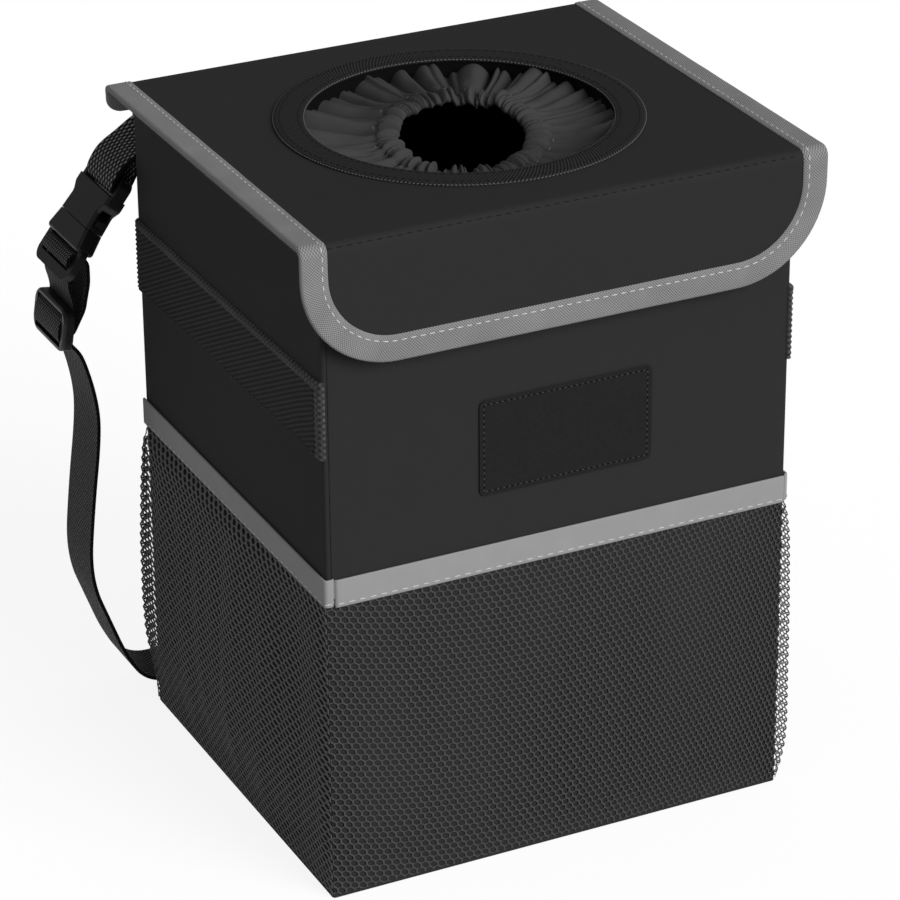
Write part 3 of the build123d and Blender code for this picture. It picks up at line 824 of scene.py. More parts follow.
        def section(index):
            low = level(index)
            high = low + BAND_HIGH.z - BAND_LOW.z
            crown = [(-depth / 2 + depth / 2 * math.cos(a), high - depth / 2 + depth / 2 * math.sin(a))
                     for a in (math.pi * k / 8 for k in range(9))]
            ahead = length - stations[index].run
            near = {"front": stations[index].run, "left": ahead, "right": 1.0}[side] / (0.9 * MM)
            tuck = -0.7 * MM * (1 - math.sqrt(1 - (1 - min(1.0, near)) ** 2))
            face = [
                (-0.25 * MM, low), (0.0, low + 0.4 * MM), (0.0, low + 0.8 * MM),
                (0.0, high - depth / 2 - 0.4 * MM),
            ]
            return [(tuck + a, z) for a, z in [*face, *crown, (-depth, low + 1 * MM)]]

        shape = strip(stations, section)
        piece(
            f"{side}_band", shape, looks["band_tape"], "bin", 0.6 * MM, [f"{side}_pocket_band"],
            "grey_binding",
        )
        points = []
        for index, station in enumerate(stations):
            up = station.up * (level(index) + 1.5 * MM)
            points.append(station.place + station.across * 0.1 * MM + up)
        outs = [station.across for station in stations]
        sew(f"{side}_band_stitches", points, outs, SEAMS["band"], looks, "bin")


class TRASHBIN_OT_grips(bpy.types.Operator):
    """Ribbed webbing along both sides, with braided edges and a stitched lower edge"""

    bl_idname = "trash_bin.grips"
    bl_label = "Grips"

    def execute(self, context):
        sizes = context.scene.trash_bin_sizes
        looks = finishes(context.scene.trash_bin_colours)
        length = GRIP_HIGH.y - GRIP_LOW.y
        foot = GRIP_LOW.z - 1.7 * MM
        height = GRIP_HIGH.z - foot
        columns = 380
        rows = 104
        braid = 3.6 * MM
        tail = 5.5 * MM
        selvedge = 1.6 * MM
        lap = 1.4 * MM
        slope = math.radians(27)
        corner = sizes.wall_corner
        bend = corner + 0.5 * MM
        for side, sign in (("left", -1), ("right", 1)):

            def place(column, row):
                along = length * column / columns
                level = height * row / rows
                to_front = length - along if sign < 0 else along
                rise = sizes.grip
                if level > height - braid or to_front < tail:
                    run = along if level > height - braid else level
                    over = (height - level) / braid if level > height - braid else to_front / tail
                    rise += 0.45 * MM * math.sin(math.pi * max(0.0, min(1.0, over))) ** 0.5
                    rise += 0.2 * MM * math.sin(2 * math.pi * (run / (2.2 * MM) + over))
                elif level > selvedge:
                    across = level * math.cos(slope) + to_front * math.sin(slope)
                    wave = math.sin(2 * math.pi * across / sizes.rib_pitch)
                    rise += sizes.rib * (0.5 + 0.5 * wave)
                rise *= min(1.0, math.sqrt(max(0.0, height - level) / (1.2 * MM)))
                if row in (0, rows) or column in (0, columns):
                    rise = 0.0
                y = GRIP_LOW.y + to_front
                y -= (GRIP_LOW.y - WALL_LOW.y + lap) * ease(1 - to_front / (20 * MM))
                past = max(0.0, WALL_LOW.y + corner - y)
                angle = min(past / bend, math.pi / 2)
                beyond = max(0.0, past - bend * math.pi / 2)
                x = WALL_HIGH.x - corner + (corner + rise) * math.cos(angle) - beyond
                if past:
                    y = WALL_LOW.y + corner - (corner + rise) * math.sin(angle)
                return Vector((sign * x, y, foot + level)), (along, level)

            shape = cloth_grid(columns, rows, place)
            # Height of each point above the grip's base, from which the grip finish paints shade in the
            # grooves and light on the rib crests
            crest = shape.verts.layers.float.new("crest")
            for vert in shape.verts:
                vert[crest] = ease((abs(vert.co.x) - WALL_HIGH.x - sizes.grip) / sizes.rib)
            for face in shape.faces:
                middle = face.calc_center_median()
                if middle.z > GRIP_HIGH.z - braid or middle.y < WALL_LOW.y + 4 * MM:
                    face.material_index = 1
            rim = [edge for edge in shape.edges if edge.is_boundary]
            bmesh.ops.holes_fill(shape, edges=rim, sides=0)
            grip = piece(
                f"{side}_grip_webbing", shape, looks["grip_webbing"], "bin", 0.0, [f"{side}_grip"],
                "black_webbing",
            )
            grip.data.materials.append(looks["grip_braid"])
            x = sign * (WALL_HIGH.x + sizes.grip + 0.25 * MM)
            line = [Vector((x, y, foot + 0.9 * MM)) for y in (GRIP_HIGH.y, GRIP_LOW.y)]
            sew(f"{side}_grip_stitches", line, [sign * X_AXIS] * 2, SEAMS["grip"], looks, "bin")
        return {"FINISHED"}


class TRASHBIN_OT_patch(bpy.types.Operator):
    """Bare rubber patch on the front, with a pressed border and stitches"""

    bl_idname = "trash_bin.patch"
    bl_label = "Patch"

    def execute(self, context):
        looks = finishes(context.scene.trash_bin_colours)
        width = PATCH_HIGH.x - PATCH_LOW.x
        height = PATCH_HIGH.z - PATCH_LOW.z
        centre = (PATCH_LOW + PATCH_HIGH) / 2
        shape = bmesh.new()
        bmesh.ops.create_grid(shape, x_segments=1, y_segments=1, size=0.5)
        bmesh.ops.scale(shape, vec=(width, height, 1), verts=shape.verts)
        bmesh.ops.bevel(
            shape, geom=shape.verts[:], affect="VERTICES", offset=2.6 * MM,
            segments=6, profile=0.5, material=-1,
        )
        border = ((0.15, 0.5), (0.4, 0.3), (0.8, 0.0), (0.2, -0.3), (0.5, 0.0), (0.2, 0.3))
        for width_in, rise in border:
            face = [f for f in shape.faces if f.normal.z > 0.9 and len(f.verts) > 4]
            bmesh.ops.inset_region(
                shape, faces=face, thickness=width_in * MM, depth=rise * MM, use_even_offset=True
            )
        move = Matrix.Translation((centre.x, PATCH_HIGH.y, centre.z))
        turn = Matrix.Rotation(math.pi / 2, 4, "X")
        bmesh.ops.transform(shape, matrix=move @ turn, verts=shape.verts)
        rim = [edge for edge in shape.edges if edge.is_boundary]
        bmesh.ops.holes_fill(shape, edges=rim, sides=0)
        piece("front_patch", shape, looks["patch_face"], "bin", 0.0, ["label_patch"], "patch_rubber")
        inset = 1.8 * MM
        corner = Vector((width / 2 - inset, 0, height / 2 - inset))
        front = PATCH_HIGH.y - 0.72 * MM
        line = [Vector((centre.x + sx * corner.x, front, centre.z + sz * corner.z))
                for sx, sz in ((-1, -1), (1, -1), (1, 1), (-1, 1), (-1, -1))]
        outs = [-Y_AXIS] * len(line)
        sew("patch_stitches", line, outs, SEAMS["patch"], looks, "bin")
        # Dark beads between the pale stitches: painted shade in the needle holes
        sew("patch_needle_hole_shade", line, outs, SEAMS["needle"], looks, "bin")
        return {"FINISHED"}


def fold_path(share):
    """Place on the middle of the cloth over the front fold, as (y, z), and the way that it faces."""
    angle = share * math.pi / 2
    up = Vector((0, -math.sin(angle), math.cos(angle)))
    centre = Vector((0, FOLD_Y, LID_MID - FOLD_RADIUS))
    return centre + up * FOLD_RADIUS, up


def fold_half(share):
    """Half thickness of lid and flap over the front fold."""
    return LID_HALF + (FLAP_HALF - LID_HALF) * ease(share)


def follow_fold(cloth):
    """Bakes the cloth's transform into its mesh."""
    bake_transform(cloth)


def follow_hinge(cloth):
    """Bakes the cloth's transform into its mesh."""
    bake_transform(cloth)


class TRASHBIN_OT_lid(bpy.types.Operator):
    """Cloth over the lid and its flap, their linings and the hinge cloth"""

    bl_idname = "trash_bin.lid"
    bl_label = "Lid"

    def execute(self, context):
        sizes = context.scene.trash_bin_sizes
        looks = finishes(context.scene.trash_bin_colours)
        half = LID_HIGH.x
        hole = sizes.mouth + 1.2 * MM
        cuts = 48

        def edge_point(index):
            """Point on the edge of the lid, against the clock from its front left corner."""
            side, step = divmod(index % (4 * cuts), cuts)
            share = step / cuts
            corners = [(-half, FOLD_Y), (half, FOLD_Y), (half, HINGE_Y), (-half, HINGE_Y)]
            a = Vector((*corners[side], 0))
            b = Vector((*corners[(side + 1) % 4], 0))
            return a.lerp(b, share)

        rows = 16

        def around_mouth(column, row, scale, seed):
            """Place between the mouth and the edge of the lid, and how far the cloth gives there."""
            edge = edge_point(column)
            inner = MOUTH + (edge - MOUTH).normalized() * hole
            spot = inner.lerp(edge, row / rows)
            wave = noise.noise(Vector((spot.x * scale, spot.y * scale, seed)))
            return spot, wave * math.sin(math.pi * row / rows)

        def top(column, row):
            spot, give = around_mouth(column, row, 22, 5)
            spot.z = LID_HIGH.z + 0.3 * MM * give
            return spot, (spot.x, spot.y - FOLD_Y)

        shape = cloth_grid(4 * cuts, rows, top, closed=True, flip=True)
        inset = 1.5 * MM
        corner = sizes.flap_corner - inset
        low = FLAP_EDGE + inset
        arc = 8
        down = 22

        def flap_level(row):
            """Height of one row of the flap below the fold, closer together towards its edge."""
            share = math.sin(row / down * math.pi / 2)
            return LID_MID - FOLD_RADIUS + (low - LID_MID + FOLD_RADIUS) * share

        def flap_x(column, level):
            """Place across the flap, narrower in its rounded corners."""
            below = max(0.0, low + corner - level)
            reach = half - corner + math.sqrt(max(0.0, corner ** 2 - below ** 2))
            return reach * (2 * column / cuts - 1)

        def flap(column, row):
            if row <= arc:
                place, up = fold_path(row / arc)
                thick = fold_half(row / arc)
                run = FOLD_RADIUS * math.pi / 2 * row / arc
            else:
                up = -Y_AXIS
                level = flap_level(row - arc)
                place = Vector((0, FLAP_MID, level))
                thick = FLAP_HALF
                run = FOLD_RADIUS * math.pi / 2 + (LID_MID - FOLD_RADIUS - level)
            spot = place + up * thick
            spot.x = flap_x(column, spot.z)
            if row > arc:
                spot.y -= 0.35 * MM * noise.noise(Vector((spot.x * 20, spot.z * 30, 9)))
            return spot, (spot.x, -run)

        cover = cloth_grid(cuts, arc + down, flap, flip=True)
        hanging = bpy.data.meshes.new("hanging")
        cover.to_mesh(hanging)
        cover.free()
        shape.from_mesh(hanging)
        bpy.data.meshes.remove(hanging)
        bmesh.ops.remove_doubles(shape, verts=shape.verts, dist=0.02 * MM)
        cloth = piece("lid_cloth", shape, looks["outer_cloth"], None, 0.6 * MM, ["lid_panel"], "black_cloth")
        follow_fold(cloth)

        place, up = fold_path(FOLD_SEAM)
        spot = place + up * (fold_half(FOLD_SEAM) + 0.08 * MM)
        line = [Vector((x, spot.y, spot.z)) for x in (-half + 10 * MM, half - 10 * MM)]
        follow_fold(sew("fold_stitches", line, [up] * 2, SEAMS["fold"], looks))

        def lining(column, row):
            level = flap_level(row)
            x = flap_x(column, level)
            return Vector((x, FLAP_HIGH.y, level)), (x, level)

        shape = cloth_grid(cuts, down, lining)
        piece("flap_lining", shape, looks["lining_and_shade_cloth"], "flap", 0.6 * MM, ["flap_panel"], "liner")

        def under(column, row):
            spot, give = around_mouth(column, row, 25, 2)
            spot.x = max(5 * MM - half, min(half - 5 * MM, spot.x))
            spot.z = LID_LOW.z - 0.1 * MM * (1 + give)
            return spot, (spot.x, spot.y)

        shape = cloth_grid(4 * cuts, rows, under, closed=True)
        piece("lid_under_cloth", shape, looks["lining_and_shade_cloth"], "lid", 0.5 * MM, ["lid_lining"], "liner")
        self.hinge(looks, half)
        return {"FINISHED"}

    def hinge(self, looks, half):
        """Cloth from the lid over its back edge and down on to the back wall."""
        profile = [(HINGE_Y - 6 * MM, LID_HIGH.z + 0.15 * MM)]
        reach = LID_HALF - 0.5 * MM
        rounding = 5.5 * MM
        for step in range(9):
            angle = math.pi / 2 * step / 8
            profile.append((HINGE_Y + reach * math.sin(angle), LID_MID - 0.1 * MM + reach * math.cos(angle)))
        for step in range(1, 9):
            share = step / 8
            level = LID_MID + (HINGE_LOW.z - LID_MID) * share
            profile.append((HINGE_HIGH.y + (LID_HALF - 1.1 * MM) * (1 - ease(share * 2.5)), level))
        cuts = 40

        def place(column, row):
            y, z = profile[row]
            near = min(1.0, max(0.0, (HINGE_LOW.z + rounding - z) / rounding))
            inset = rounding * (1 - math.sqrt(1 - near ** 2)) + (1.5 * MM if z < LID_LOW.z else 0.0)
            x = (half - inset) * (1 - 2 * column / cuts)
            wave = 0.2 * MM * noise.noise(Vector((x * 30, y * 30, z * 30)))
            return Vector((x, y + wave, z)), (x, z)

        shape = cloth_grid(cuts, len(profile) - 1, place, flip=True)
        cloth = piece(
            "hinge_cloth", shape, looks["outer_cloth"], None, 0.6 * MM, ["hinge_flap"], "black_cloth"
        )
        follow_hinge(cloth)
        y = HINGE_HIGH.y + 0.1 * MM
        line = [Vector((x, y, HINGE_LOW.z + 2.2 * MM)) for x in (-half + 12 * MM, half - 12 * MM)]
        sew("hinge_stitches", line, [Y_AXIS] * 2, SEAMS["hinge"], looks, "bin")


def binding_section(leg, top, bottom):
    """Tape folded over an edge: offsets inward from the edge and up from the middle of the cloth."""
    thin = min(bottom, 0.8 * MM)
    middle = (top - thin) / 2
    reach = (top + thin) / 2
    nose = [(reach - reach * math.cos(a), middle + reach * math.sin(a))
            for a in (math.radians(90 - 20 * k) for k in range(10))]
    legs = [leg, leg - 0.5 * MM, leg * 0.75 + reach * 0.25, leg * 0.4 + reach * 0.6]
    upper = [(a, top - (0.45 * MM if a == leg else 0.0)) for a in legs]
    lower = [(a, -thin - (bottom - thin) * (a - reach) / (leg - reach)) for a in reversed(legs)]
    return upper + nose + lower


class TRASHBIN_OT_binding(bpy.types.Operator):
    """Grey binding round the lid and its flap, with pale stitches"""

    bl_idname = "trash_bin.binding"
    bl_label = "Binding"

    def execute(self, context):
        sizes = context.scene.trash_bin_sizes
        looks = finishes(context.scene.trash_bin_colours)
        split_y = HINGE_Y - 16 * MM
        self.front(sizes, looks, split_y)
        for side, sign in (("left", -1), ("right", 1)):
            self.back(side, sign, sizes, looks, split_y)
        return {"FINISHED"}

    def front(self, sizes, looks, split_y):
        """From mid lid over the fold, round the flap and back up the other side."""
        corner = sizes.flap_corner
        half = []
        for step in range(25):
            y = split_y + (FOLD_Y - split_y) * step / 24
            half.append((Vector((EDGE, y, LID_MID)), -X_AXIS, Z_AXIS, 0.0))
        for step in range(1, 11):
            place, up = fold_path(step / 10)
            half.append((Vector((EDGE, place.y, place.z)), -X_AXIS, up, step / 10))
        top = LID_MID - FOLD_RADIUS
        for step in range(1, 7):
            level = top + (FLAP_EDGE + corner - top) * step / 6
            half.append((Vector((EDGE, FLAP_MID, level)), -X_AXIS, -Y_AXIS, 1.0))
        for step in range(1, 19):
            angle = math.pi / 2 * step / 18
            out = Vector((math.cos(angle), 0, -math.sin(angle)))
            centre = Vector((EDGE - corner, FLAP_MID, FLAP_EDGE + corner))
            half.append((centre + out * corner, -out, -Y_AXIS, 1.0))
        for step in range(1, 13):
            x = (EDGE - corner) * (1 - step / 12)
            half.append((Vector((x, FLAP_MID, FLAP_EDGE)), Z_AXIS, -Y_AXIS, 1.0))
        flip = Vector((-1, 1, 1))
        whole = list(half)
        for place, across, up, turn in reversed(half[:-1]):
            whole.append((place * flip, across * flip, up * flip, turn))
        stations = with_runs([entry[:3] for entry in whole])
        turns = [entry[3] for entry in whole]
        cloth = sizes.binding_cloth

        def thick(index):
            return fold_half(turns[index]) + cloth

        def section(index):
            ripple = 0.12 * MM * noise.noise(Vector((stations[index].run * 90, 0, 4)))
            return binding_section(sizes.binding + ripple, thick(index) + ripple, thick(index))

        shape = strip(stations, section)
        tape = piece(
            "edge_binding", shape, looks["woven_binding"], None, 0.55 * MM,
            ["flap_trim", "lid_trim_left", "lid_trim_right"], "grey_binding",
        )
        follow_fold(tape)
        levels = [thick(index) for index in range(len(stations))]
        follow_fold(self.sew_on("binding_stitches", stations, levels, 0.0, sizes, looks))

    def back(self, side, sign, sizes, looks, split_y):
        """From mid lid over the back edge, ending in a rounded tab below the hinge."""
        inward = -sign * X_AXIS
        bend = 0.6 * MM
        triples = []
        shape_of = []
        top = LID_HALF + sizes.binding_cloth
        tab = (HINGE_HIGH.y - HINGE_LOW.y) / 2 + sizes.binding_cloth
        for step in range(7):
            y = split_y + (HINGE_Y - bend - split_y) * step / 6
            triples.append((Vector((sign * EDGE, y, LID_MID)), inward, Z_AXIS))
            shape_of.append((0.0, top, top))
        for step in range(1, 9):
            angle = math.pi / 2 * step / 8
            up = Vector((0, math.sin(angle), math.cos(angle)))
            centre = Vector((sign * EDGE, HINGE_Y - bend, LID_MID - bend))
            triples.append((centre + up * bend, inward, up))
            share = step / 8
            shape_of.append((0.0, top + (tab - top) * ease(share), max(0.3 * MM, top * (1 - 3 * share))))
        end = HINGE_LOW.z
        start = LID_MID - bend
        rounding = 5.5 * MM
        for step in range(1, 15):
            level = start + (end - start) * math.sin(step / 14 * math.pi / 2)
            near = max(0.0, end + rounding - level)
            cut = rounding - math.sqrt(max(0.0, rounding ** 2 - near ** 2))
            triples.append((Vector((sign * EDGE, HINGE_Y, level)), inward, Y_AXIS))
            grow = ease((start - level) / (3 * MM))
            shape_of.append((min(cut, 5.0 * MM), tab, 0.3 * MM + (tab - 0.3 * MM) * grow))
        stations = with_runs(triples)

        def section(index):
            cut, upper, lower = shape_of[index]
            return [(cut + a * (sizes.binding - cut) / sizes.binding, b)
                    for a, b in binding_section(sizes.binding, upper, lower)]

        shape = strip(stations, section, flip=sign > 0)
        tape = piece(
            f"{side}_hinge_binding", shape, looks["woven_binding"], None, 0.5 * MM,
            [f"hinge_trim_{side}"], "grey_binding",
        )
        follow_hinge(tape)
        levels = [upper for _, upper, _ in shape_of]
        follow_hinge(self.sew_on(f"{side}_hinge_stitches", stations, levels, 1 * MM, sizes, looks))

    def sew_on(self, name, stations, levels, start, sizes, looks):
        """Pale stitches near the inner edge of the binding, each on the tape's own height there."""
        inset = sizes.binding - 2.2 * MM
        points = [s.place + s.across * inset + s.up * level for s, level in zip(stations, levels)]
        return sew(name, points, [s.up for s in stations], pale_seam(sizes, start), looks)


class TRASHBIN_OT_mouth(bpy.types.Operator):
    """Taped ring, gathered collar and its rolled hem"""

    bl_idname = "trash_bin.mouth"
    bl_label = "Mouth"

    def execute(self, context):
        sizes = context.scene.trash_bin_sizes
        looks = finishes(context.scene.trash_bin_colours)
        self.ring(sizes, looks)
        self.collar(sizes, looks)
        return {"FINISHED"}

    def ring(self, sizes, looks):
        stations = ring_stations(sizes.mouth, 192)
        width = RING_RADIUS - sizes.mouth
        high = RING_HIGH.z
        base = LID_HIGH.z

        def section(index):
            rounded = [(0.9 * MM * (1 - math.cos(a)), high - 0.9 * MM * (1 - math.sin(a)))
                       for a in (math.pi / 2 * k / 4 for k in range(5))]
            crown = [(width * k / 10, high + 0.12 * MM * math.sin(math.pi * k / 10)) for k in range(2, 10)]
            tuck = [(1.6 * MM, base - 0.2 * MM), (0.2 * MM, base - 0.2 * MM)]
            return [*tuck, *rounded, *crown, (width - 0.2 * MM, high - 0.2 * MM), (width, base)]

        shape = strip(stations, section, closed=True, flip=True)
        piece("mouth_ring", shape, looks["mouth_tape"], "lid", 0.45 * MM, ["opening_ring"], "black_webbing")

        # Near-black strip from the ring's inner edge down under the lid: painted shade for the deep shadow
        # under the ring
        def shade_strip(index):
            return [(0.5 * MM, base + 0.1 * MM), (0.7 * MM, LID_LOW.z), (0.7 * MM, LID_LOW.z - 9 * MM)]

        shape = strip(stations, shade_strip, closed=True)
        piece("mouth_shade_strip", shape, looks["lining_and_shade_cloth"], "lid", 0.4 * MM, slot="liner")
        stations.append(stations[0])
        for name, across in (("outer", width - 2.4 * MM), ("inner", 2.2 * MM)):
            points, outs = line_of(stations, across, high + 0.1 * MM)
            sew(f"ring_{name}_stitches", points, outs, SEAMS["ring"], looks, "lid")
        for name, across in (("outer", width - 0.1 * MM), ("inner", 0.2 * MM)):
            points, outs = line_of(stations, across, high - 0.4 * MM)
            sew(f"ring_{name}_edge", points, outs, SEAMS["ring_edge"], looks, "lid")

    def collar(self, sizes, looks):
        chance = random.Random(7)

        def gathers(count, least, most):
            """Bounds, heights and leans of gathers of uneven width round the mouth."""
            widths = [chance.uniform(least, most) for _ in range(count)]
            bounds = [0.0]
            for width in widths:
                bounds.append(bounds[-1] + 2 * math.pi * width / sum(widths))
            heights = [chance.uniform(0.6, 1.2) for _ in widths]
            leans = [chance.uniform(0.6, 1.6) for _ in widths]
            return bounds, heights, leans

        def gather(angle, bounds, heights, leans):
            """Height of the gather at an angle, from 0 in a crease to about 1 on a crest."""
            angle %= 2 * math.pi
            index = next(k for k in range(len(heights)) if angle <= bounds[k + 1] + 1e-9)
            share = (angle - bounds[index]) / (bounds[index + 1] - bounds[index])
            return heights[index] * max(0.0, math.sin(math.pi * share ** leans[index])) ** 0.65

        columns = 720
        slope = 34
        roll = 26
        outer = sizes.mouth + 0.6 * MM
        hem = sizes.hem
        hem_z = LID_LOW.z - 5.0 * MM
        middle = MOUTH + Vector((0.2, -2.0, 0)) * MM
        uphill = Vector((0.3, 0.954, 0))
        wide = 3.9 * MM
        tall = 2.3 * MM
        folds = gathers(sizes.gathers, 0.5, 1.6)
        pleats = gathers(41, 0.3, 1.8)
        tucks = gathers(58, 0.25, 1.8)
        angles = [2 * math.pi * k / columns for k in range(columns)]
        crest = [0.72 * gather(angle, *folds) + 0.3 * gather(angle, *pleats) for angle in angles]
        pucker = [gather(angle, *tucks) for angle in angles]

        def ring_at(out):
            """Radius and height of the hem's middle in one direction; the hem hangs lower at the front."""
            loose = noise.noise(Vector((out.x * 3, out.y * 3, 1)))
            return hem + 0.4 * MM + 1.1 * MM * loose, hem_z + 5.0 * MM * out.dot(uphill) + 0.8 * MM * loose

        def place(column, row):
            angle = 2 * math.pi * (column % columns) / columns
            out = Vector((math.cos(angle), math.sin(angle), 0))
            rise = crest[column % columns]
            fine = pucker[(column + row // 3) % columns] - 0.6
            ring, level = ring_at(out)
            puff = 1 + 0.42 * fine + 0.3 * (rise - 0.6)
            start = math.radians(12)
            if row <= slope:
                share = row / slope
                edge = MOUTH + out * outer
                goal = middle + out * (ring + wide * puff * math.cos(start))
                spot = edge.lerp(goal, share)
                begin = LID_LOW.z - 2.4 * MM + 1.0 * MM * out.dot(uphill)
                final = level + tall * puff * math.sin(start)
                height = 9.0 * MM * (1 - 0.62 * ease(share))
                crease = 0.6 * MM * noise.noise(Vector((out.x * 12, out.y * 12, share * 3)))
                spot.z = begin + (final - begin) * share - 1.2 * MM * math.sin(math.pi * share)
                spot.z += height * (rise - 0.55) + crease + 1.2 * MM * fine * ease((share - 0.6) / 0.4)
            else:
                turn = start + (math.radians(290) - start) * (row - slope) / roll
                spot = middle + out * (ring + wide * puff * math.cos(turn))
                spot.z = level + tall * puff * math.sin(turn) + 1.2 * MM * fine + 3.4 * MM * (rise - 0.55)
            return spot, (angle * hem, row * 0.8 * MM)

        cord = 0.9 * MM
        cord_columns = 120
        cord_rows = 10

        def elastic(column, row):
            angle = 2 * math.pi * (column % cord_columns) / cord_columns
            out = Vector((math.cos(angle), math.sin(angle), 0))
            ring, level = ring_at(out)
            turn = 2 * math.pi * row / cord_rows
            spot = middle + out * (ring + cord * math.cos(turn))
            spot.z = level + cord * math.sin(turn)
            return spot, (angle * hem, row * 0.5 * MM)

        shape = cloth_grid(cord_columns, cord_rows, elastic, closed=True)
        piece("hem_elastic", shape, looks["elastic_cord"], "lid", 0.0, ["collar_elastic"], "elastic")
        shape = cloth_grid(columns, slope + roll, place, closed=True)
        collar = piece(
            "gathered_cloth", shape, looks["collar_cloth"], "lid", 0.4 * MM, ["gathered_collar"],
            "black_cloth",
        )
        marks = []
        hem_stitches = 22
        for step in range(hem_stitches):
            angle = 2 * math.pi * (step + chance.uniform(-0.45, 0.45)) / hem_stitches
            column = round(angle / (2 * math.pi) * columns)
            spot, _ = place(column, slope - 2)
            ahead, _ = place(column + 6, slope - 2)
            marks.append((spot + Z_AXIS * 0.15 * MM, (ahead - spot).normalized(), Z_AXIS))
        stitches("hem_stitches", marks, looks["woven_binding"], 1.5 * MM, 0.28 * MM, "lid", "black_cloth")


# Strap, buckle and slider: points of the route beside the back wall, in millimetres
STRAP_Y = 98.0
BUCKLE_CENTRE = Vector((-112.75, 205.3))
BUCKLE_ALONG = Vector((-0.611, -0.792))
SLIDER_CENTRE = Vector((-125.2, 168.6))
SLIDER_ALONG = Vector((-0.148, -0.989))
ANCHOR_Y = 84.7
ANCHOR_X = (-12, -29, -46)
UPPER_ANCHOR = 238
LOWER_ANCHOR = 15.5


def hanging(x, z):
    """Point of the strap where it hangs beside the bin, edge on to the front."""
    return (x, STRAP_Y, z, 0)


def beside(centre, way, along, out):
    """Point of the strap beside a fitting, along it and out of its face."""
    return hanging(*(centre + way * along + Vector((way.y, -way.x)) * out))


def on_buckle(along, out):
    return beside(BUCKLE_CENTRE, BUCKLE_ALONG, along, out)


def on_slider(along, out):
    return beside(SLIDER_CENTRE, SLIDER_ALONG, along, out)


UPPER_ROUTE = [
    on_buckle(-36, 0.2), on_buckle(-28, -2.5), on_buckle(-18, -2.5), on_buckle(-18, 3.4),
    on_buckle(-27, 4.8), on_buckle(-32.5, 3.4), on_buckle(-36.5, 1.6),
    (-84, 97.2, 238, 16), (-72, 95, 240.6, 45), (-59.5, 89.9, 239.6, 74),
    *[(x, ANCHOR_Y, UPPER_ANCHOR, 90) for x in reversed(ANCHOR_X)],
]
LOOP_ROUTE = [
    on_slider(-1, 0.6), on_slider(2.3, 0.6), on_slider(2.3, -3.1),
    hanging(-119.8, 170.9), hanging(-117.2, 175.5), hanging(-116.2, 180.5), hanging(-114.9, 186),
    hanging(-114.8, 190), on_buckle(9.1, -4.3), on_buckle(9.1, 2.7), on_buckle(14.6, 2.7),
    on_buckle(15, -2.5), on_buckle(20.5, -2.5), on_slider(-10.5, -3), on_slider(-6, -3),
    on_slider(-4.5, 2.4), on_slider(4.5, 2.4), on_slider(5.6, -0.6), on_slider(6.9, -3.6),
]
LOWER_ROUTE = [
    *[(x, ANCHOR_Y, LOWER_ANCHOR, 90) for x in ANCHOR_X], (-58, 90.1, 13.2, 72), (-71, 95.6, 8.6, 42),
    hanging(-86, 6.4), hanging(-99.6, 9.6), hanging(-107.2, 23), hanging(-112.3, 37), hanging(-120.6, 60),
    hanging(-117.6, 91), hanging(-113.4, 121), hanging(-113.8, 136), hanging(-118.4, 155),
    on_slider(7.6, -4.6), on_slider(6.6, -3),
]


def smooth_line(points):
    """Points read from a smooth curve that has the given points as its controls."""
    curve = bpy.data.curves.new("route", "CURVE")
    curve.dimensions = "3D"
    curve.resolution_u = 10
    spline = curve.splines.new("NURBS")
    spline.points.add(len(points) - 1)
    for control, point in zip(spline.points, points):
        control.co = (*point, 1.0)
    spline.order_u = 3
    spline.use_endpoint_u = True
    carrier = bpy.data.objects.new("route", curve)
    bpy.context.scene.collection.objects.link(carrier)
    line = bpy.data.meshes.new_from_object(carrier)
    read = [vert.co.copy() for vert in line.vertices]
    bpy.data.objects.remove(carrier)
    bpy.data.curves.remove(curve)
    bpy.data.meshes.remove(line)
    return read


